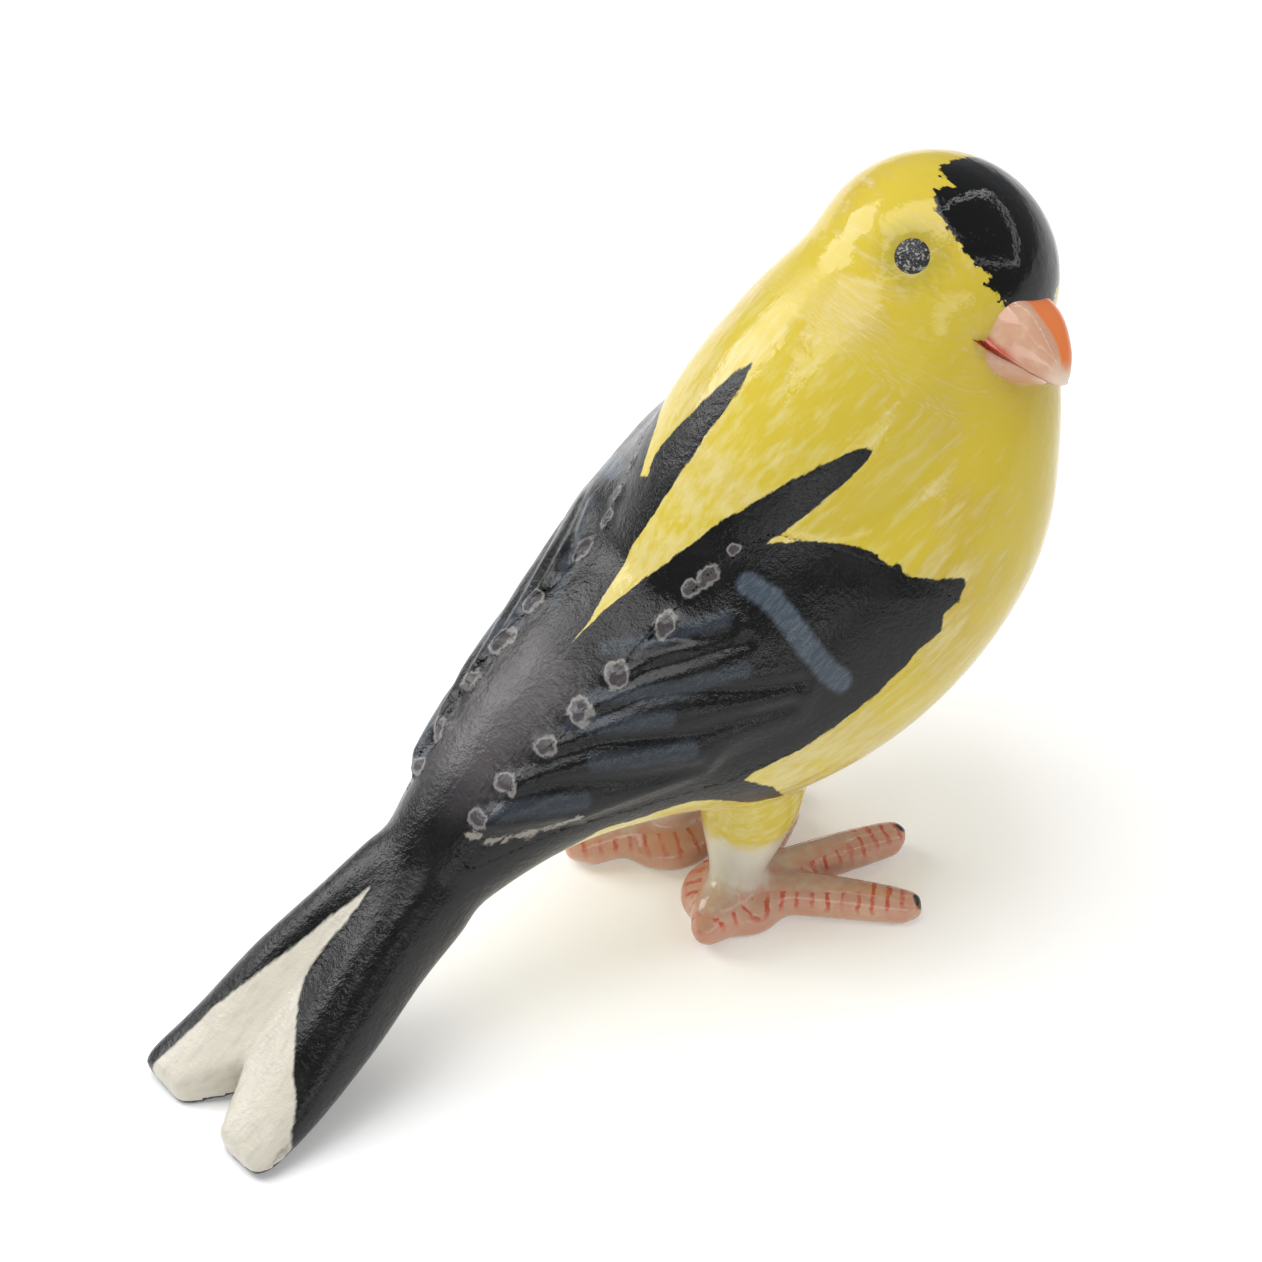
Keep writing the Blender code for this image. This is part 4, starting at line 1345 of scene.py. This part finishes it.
class GOLDFINCH_OT_wings(bpy.types.Operator):
    """Lift the pressed wing shells off the clay's back and give them their thickness"""

    bl_idname = "goldfinch.wings"
    bl_label = "Wings"

    def execute(self, context):
        depth = context.scene.goldfinch_sizes.wing_depth
        for side, word in SIDES:
            bm = bmesh.new()
            bm.from_mesh(clay())
            wing = bm.verts.layers.float["wing"]
            whole = bm.verts.layers.float_vector["whole_normal"]
            away = [face for face in bm.faces
                    if min(vert[wing] for vert in face.verts) <= 0.0
                    or face.calc_center_median().x * side < 0.0]
            bmesh.ops.delete(bm, geom=away, context="FACES")
            outside = set(bm.faces)
            made = bmesh.ops.extrude_face_region(bm, geom=bm.faces[:], use_keep_orig=True)["geom"]
            for vert in [item for item in made if isinstance(item, bmesh.types.BMVert)]:
                vert.co -= vert[whole] * depth
            for face in bm.faces:
                face.smooth = face in outside
            bmesh.ops.recalc_face_normals(bm, faces=bm.faces)
            clay_piece(
                word + "_wing_glazed", bm, material_for(plumage_porcelain),
                [word + "_wing"],
            )
        return {"FINISHED"}


class GOLDFINCH_OT_tail(bpy.types.Operator):
    """Cut off the solid tail"""

    bl_idname = "goldfinch.tail"
    bl_label = "Tail"

    def execute(self, context):
        tail = tail_plane()
        bm = carved(clay(), [tail], lambda place: beyond(tail, place))
        clay_piece("tail_glazed", bm, material_for(plumage_porcelain), ["tail"])
        return {"FINISHED"}


class GOLDFINCH_OT_feet(bpy.types.Operator):
    """Cut out the legs, the foot pads and the rolled toes"""

    bl_idname = "goldfinch.feet"
    bl_label = "Legs and feet"

    def execute(self, context):
        leg = (in_frame(0.0, 0.0, LEG_CUT), Z_AXIS)
        sole = (in_frame(0.0, 0.0, FOOT_CUT), Z_AXIS)
        split = (in_frame(*FEET_SPLIT_AT), FEET_SPLIT_WAY.normalized())
        limbs = mesh_of("limbs", carved(clay(), [leg], is_leg))
        for foot, (side, _, toes) in FEET.items():
            def own(place, side=side):
                return beyond(split, place) == (side > 0.0)

            shank = carved(limbs, [split, sole], lambda place: own(place) and beyond(sole, place))
            clay_piece(
                foot + "_leg_glazed", shank, material_for(leg_porcelain), [foot + "_leg"],
            )
            below = mesh_of("below", carved(
                limbs, [split, sole], lambda place: own(place) and not beyond(sole, place)))
            ends, between = foot_planes(foot)
            pad = carved(below, list(ends.values()),
                         lambda place: not any(beyond(end, place) for end in ends.values()))
            clay_piece(
                foot + "_pad_glazed", pad, material_for(foot_porcelain),
                [foot + "_foot_pad"],
            )
            for toe in toes:
                walls = [ends[toe], *between[toe]]
                bm = carved(below, walls, lambda place: all(beyond(wall, place) for wall in walls))
                name = foot + "_" + toe + "_toe"
                clay_piece(name + "_glazed", bm, material_for(foot_porcelain), [name])
            bpy.data.meshes.remove(below)
        bpy.data.meshes.remove(limbs)
        return {"FINISHED"}


class GOLDFINCH_OT_beak(bpy.types.Operator):
    """Shape the two mandibles"""

    bl_idname = "goldfinch.beak"
    bl_label = "Beak"

    def execute(self, context):
        material = material_for(beak_porcelain)
        beak_piece("upper_mandible", UPPER_FACES, BEAK_LENGTH, material)
        beak_piece("lower_mandible", LOWER_FACES, BEAK_LENGTH - LOWER_SHORTER, material)
        return {"FINISHED"}


class GOLDFINCH_OT_eyes(bpy.types.Operator):
    """Set the two enamel beads"""

    bl_idname = "goldfinch.eyes"
    bl_label = "Eyes"

    def execute(self, context):
        for side, word in SIDES:
            eye_piece(word + "_eye", side, material_for(glinting_eye_enamel))
        return {"FINISHED"}


CAMERA_TURN = math.radians(234.0)
CAMERA_RISE = math.radians(40.0)
CAMERA_REACH = 380.0        # mm from the figurine's origin
CAMERA_LEFT = 4.158         # mm that the view is moved off the origin
CAMERA_BELOW = -13.0
LENS = 206.3                # mm, on a 36 mm sensor


def camera_ways():
    """The camera's own back, right and up."""
    back = Vector((math.sin(CAMERA_TURN) * math.cos(CAMERA_RISE), -math.cos(CAMERA_TURN) * math.cos(CAMERA_RISE),
                   math.sin(CAMERA_RISE)))
    right = Vector((math.cos(CAMERA_TURN), math.sin(CAMERA_TURN), 0.0))
    return back, right, back.cross(right)


def soft_light(name, place, aim, size, power):
    """A rectangular softbox facing its aim."""
    light = bpy.data.lights.new(name, "AREA")
    light.shape = "RECTANGLE"
    light.size, light.size_y = size
    light.energy = power * bpy.context.scene.goldfinch_sizes.light_strength
    obj = linked(name, light)
    obj.matrix_world = Matrix.Translation(
        place,
    ) @ (place - aim).to_track_quat("Z", "Y").to_matrix().to_4x4()
    return obj


class GOLDFINCH_OT_stage(bpy.types.Operator):
    """Lay the table, set the soft lights and place the camera"""

    bl_idname = "goldfinch.stage"
    bl_label = "Studio"

    def execute(self, context):
        bm = bmesh.new()
        bmesh.ops.create_grid(bm, x_segments=8, y_segments=8, size=3.0)
        table = linked("table", mesh_of("table", bm))
        table.data.materials.append(table_card())
        back, right, up = camera_ways()
        aim = in_frame(0.0, 0.0, 15.0)
        soft_light("overhead_softbox", aim + Vector((0.06, 0.12, 0.48)), aim, (0.4, 0.4), 1.85)
        # A window behind the tail, and a long low card under the camera.
        soft_light("window", aim + Vector((0.38, 0.2, 0.24)), aim, (0.25, 0.25), 0.95)
        soft_light("low_card", aim + Vector((-0.42, 0.24, 0.14)), aim, (0.5, 0.1), 0.42)
        # A square light frame high beside the camera: four strips that glaze reflects as a bright loop.
        way = (back * 0.476 + (right + up).normalized() * 0.88).normalized()
        middle = aim + way * 0.4
        across = way.cross(up).normalized()
        upwards = way.cross(across).normalized()
        for index, (side, other) in enumerate(((across, upwards), (-across, upwards), (upwards, across),
                                                (-upwards, across))):
            strip = soft_light("light_frame_" + str(index), middle + side * 0.21, aim, (0.012, 0.42), 0.12)
            facing = (middle - aim).normalized()
            turn = Matrix((facing.cross(other), other, facing)).transposed()
            strip.matrix_world = Matrix.Translation(strip.location) @ turn.to_4x4()
        world = bpy.data.worlds.new("studio")
        context.scene.world = world
        world.use_nodes = True
        shade = world.node_tree.nodes["Background"]
        shade.inputs["Color"].default_value = colour("F4F6FA")
        shade.inputs["Strength"].default_value = 0.36 * context.scene.goldfinch_sizes.light_strength
        camera = bpy.data.cameras.new("camera")
        camera.lens = LENS
        camera.sensor_width = 36.0
        camera.clip_start = 0.01
        holder = linked("camera", camera)
        turn = Matrix((right, up, back)).transposed().to_4x4()
        place = back * CAMERA_REACH - right * CAMERA_LEFT - up * CAMERA_BELOW
        holder.matrix_world = Matrix.Translation(in_frame(*place)) @ turn
        context.scene.camera = holder
        context.scene.view_settings.view_transform = "Standard"
        return {"FINISHED"}


OPERATORS = (GOLDFINCH_OT_clay, GOLDFINCH_OT_body, GOLDFINCH_OT_wings, GOLDFINCH_OT_tail, GOLDFINCH_OT_feet,
             GOLDFINCH_OT_beak, GOLDFINCH_OT_eyes, GOLDFINCH_OT_stage)


class GOLDFINCH_PT_panel(bpy.types.Panel):
    """Every step of the figurine, in order"""

    bl_idname = "GOLDFINCH_PT_panel"
    bl_label = "Porcelain Goldfinch"
    bl_space_type = "VIEW_3D"
    bl_region_type = "UI"
    bl_category = "Goldfinch"

    def draw(self, context):
        for group in (context.scene.goldfinch_sizes, context.scene.goldfinch_paints):
            for name in group.__annotations__:
                self.layout.prop(group, name)
        for operator in OPERATORS:
            self.layout.operator(operator.bl_idname)


CLASSES = (GoldfinchSizes, GoldfinchPaints, *OPERATORS, GOLDFINCH_PT_panel)


def register():
    for kind in CLASSES:
        bpy.utils.register_class(kind)
    bpy.types.Scene.goldfinch_sizes = bpy.props.PointerProperty(type=GoldfinchSizes)
    bpy.types.Scene.goldfinch_paints = bpy.props.PointerProperty(type=GoldfinchPaints)


def unregister():
    del bpy.types.Scene.goldfinch_paints
    del bpy.types.Scene.goldfinch_sizes
    for kind in reversed(CLASSES):
        bpy.utils.unregister_class(kind)


def main():
    """Make the whole scene."""
    register()
    for operator in OPERATORS:
        group, name = operator.bl_idname.split(".")
        getattr(getattr(bpy.ops, group), name)()


if __name__ == "__main__":
    main()
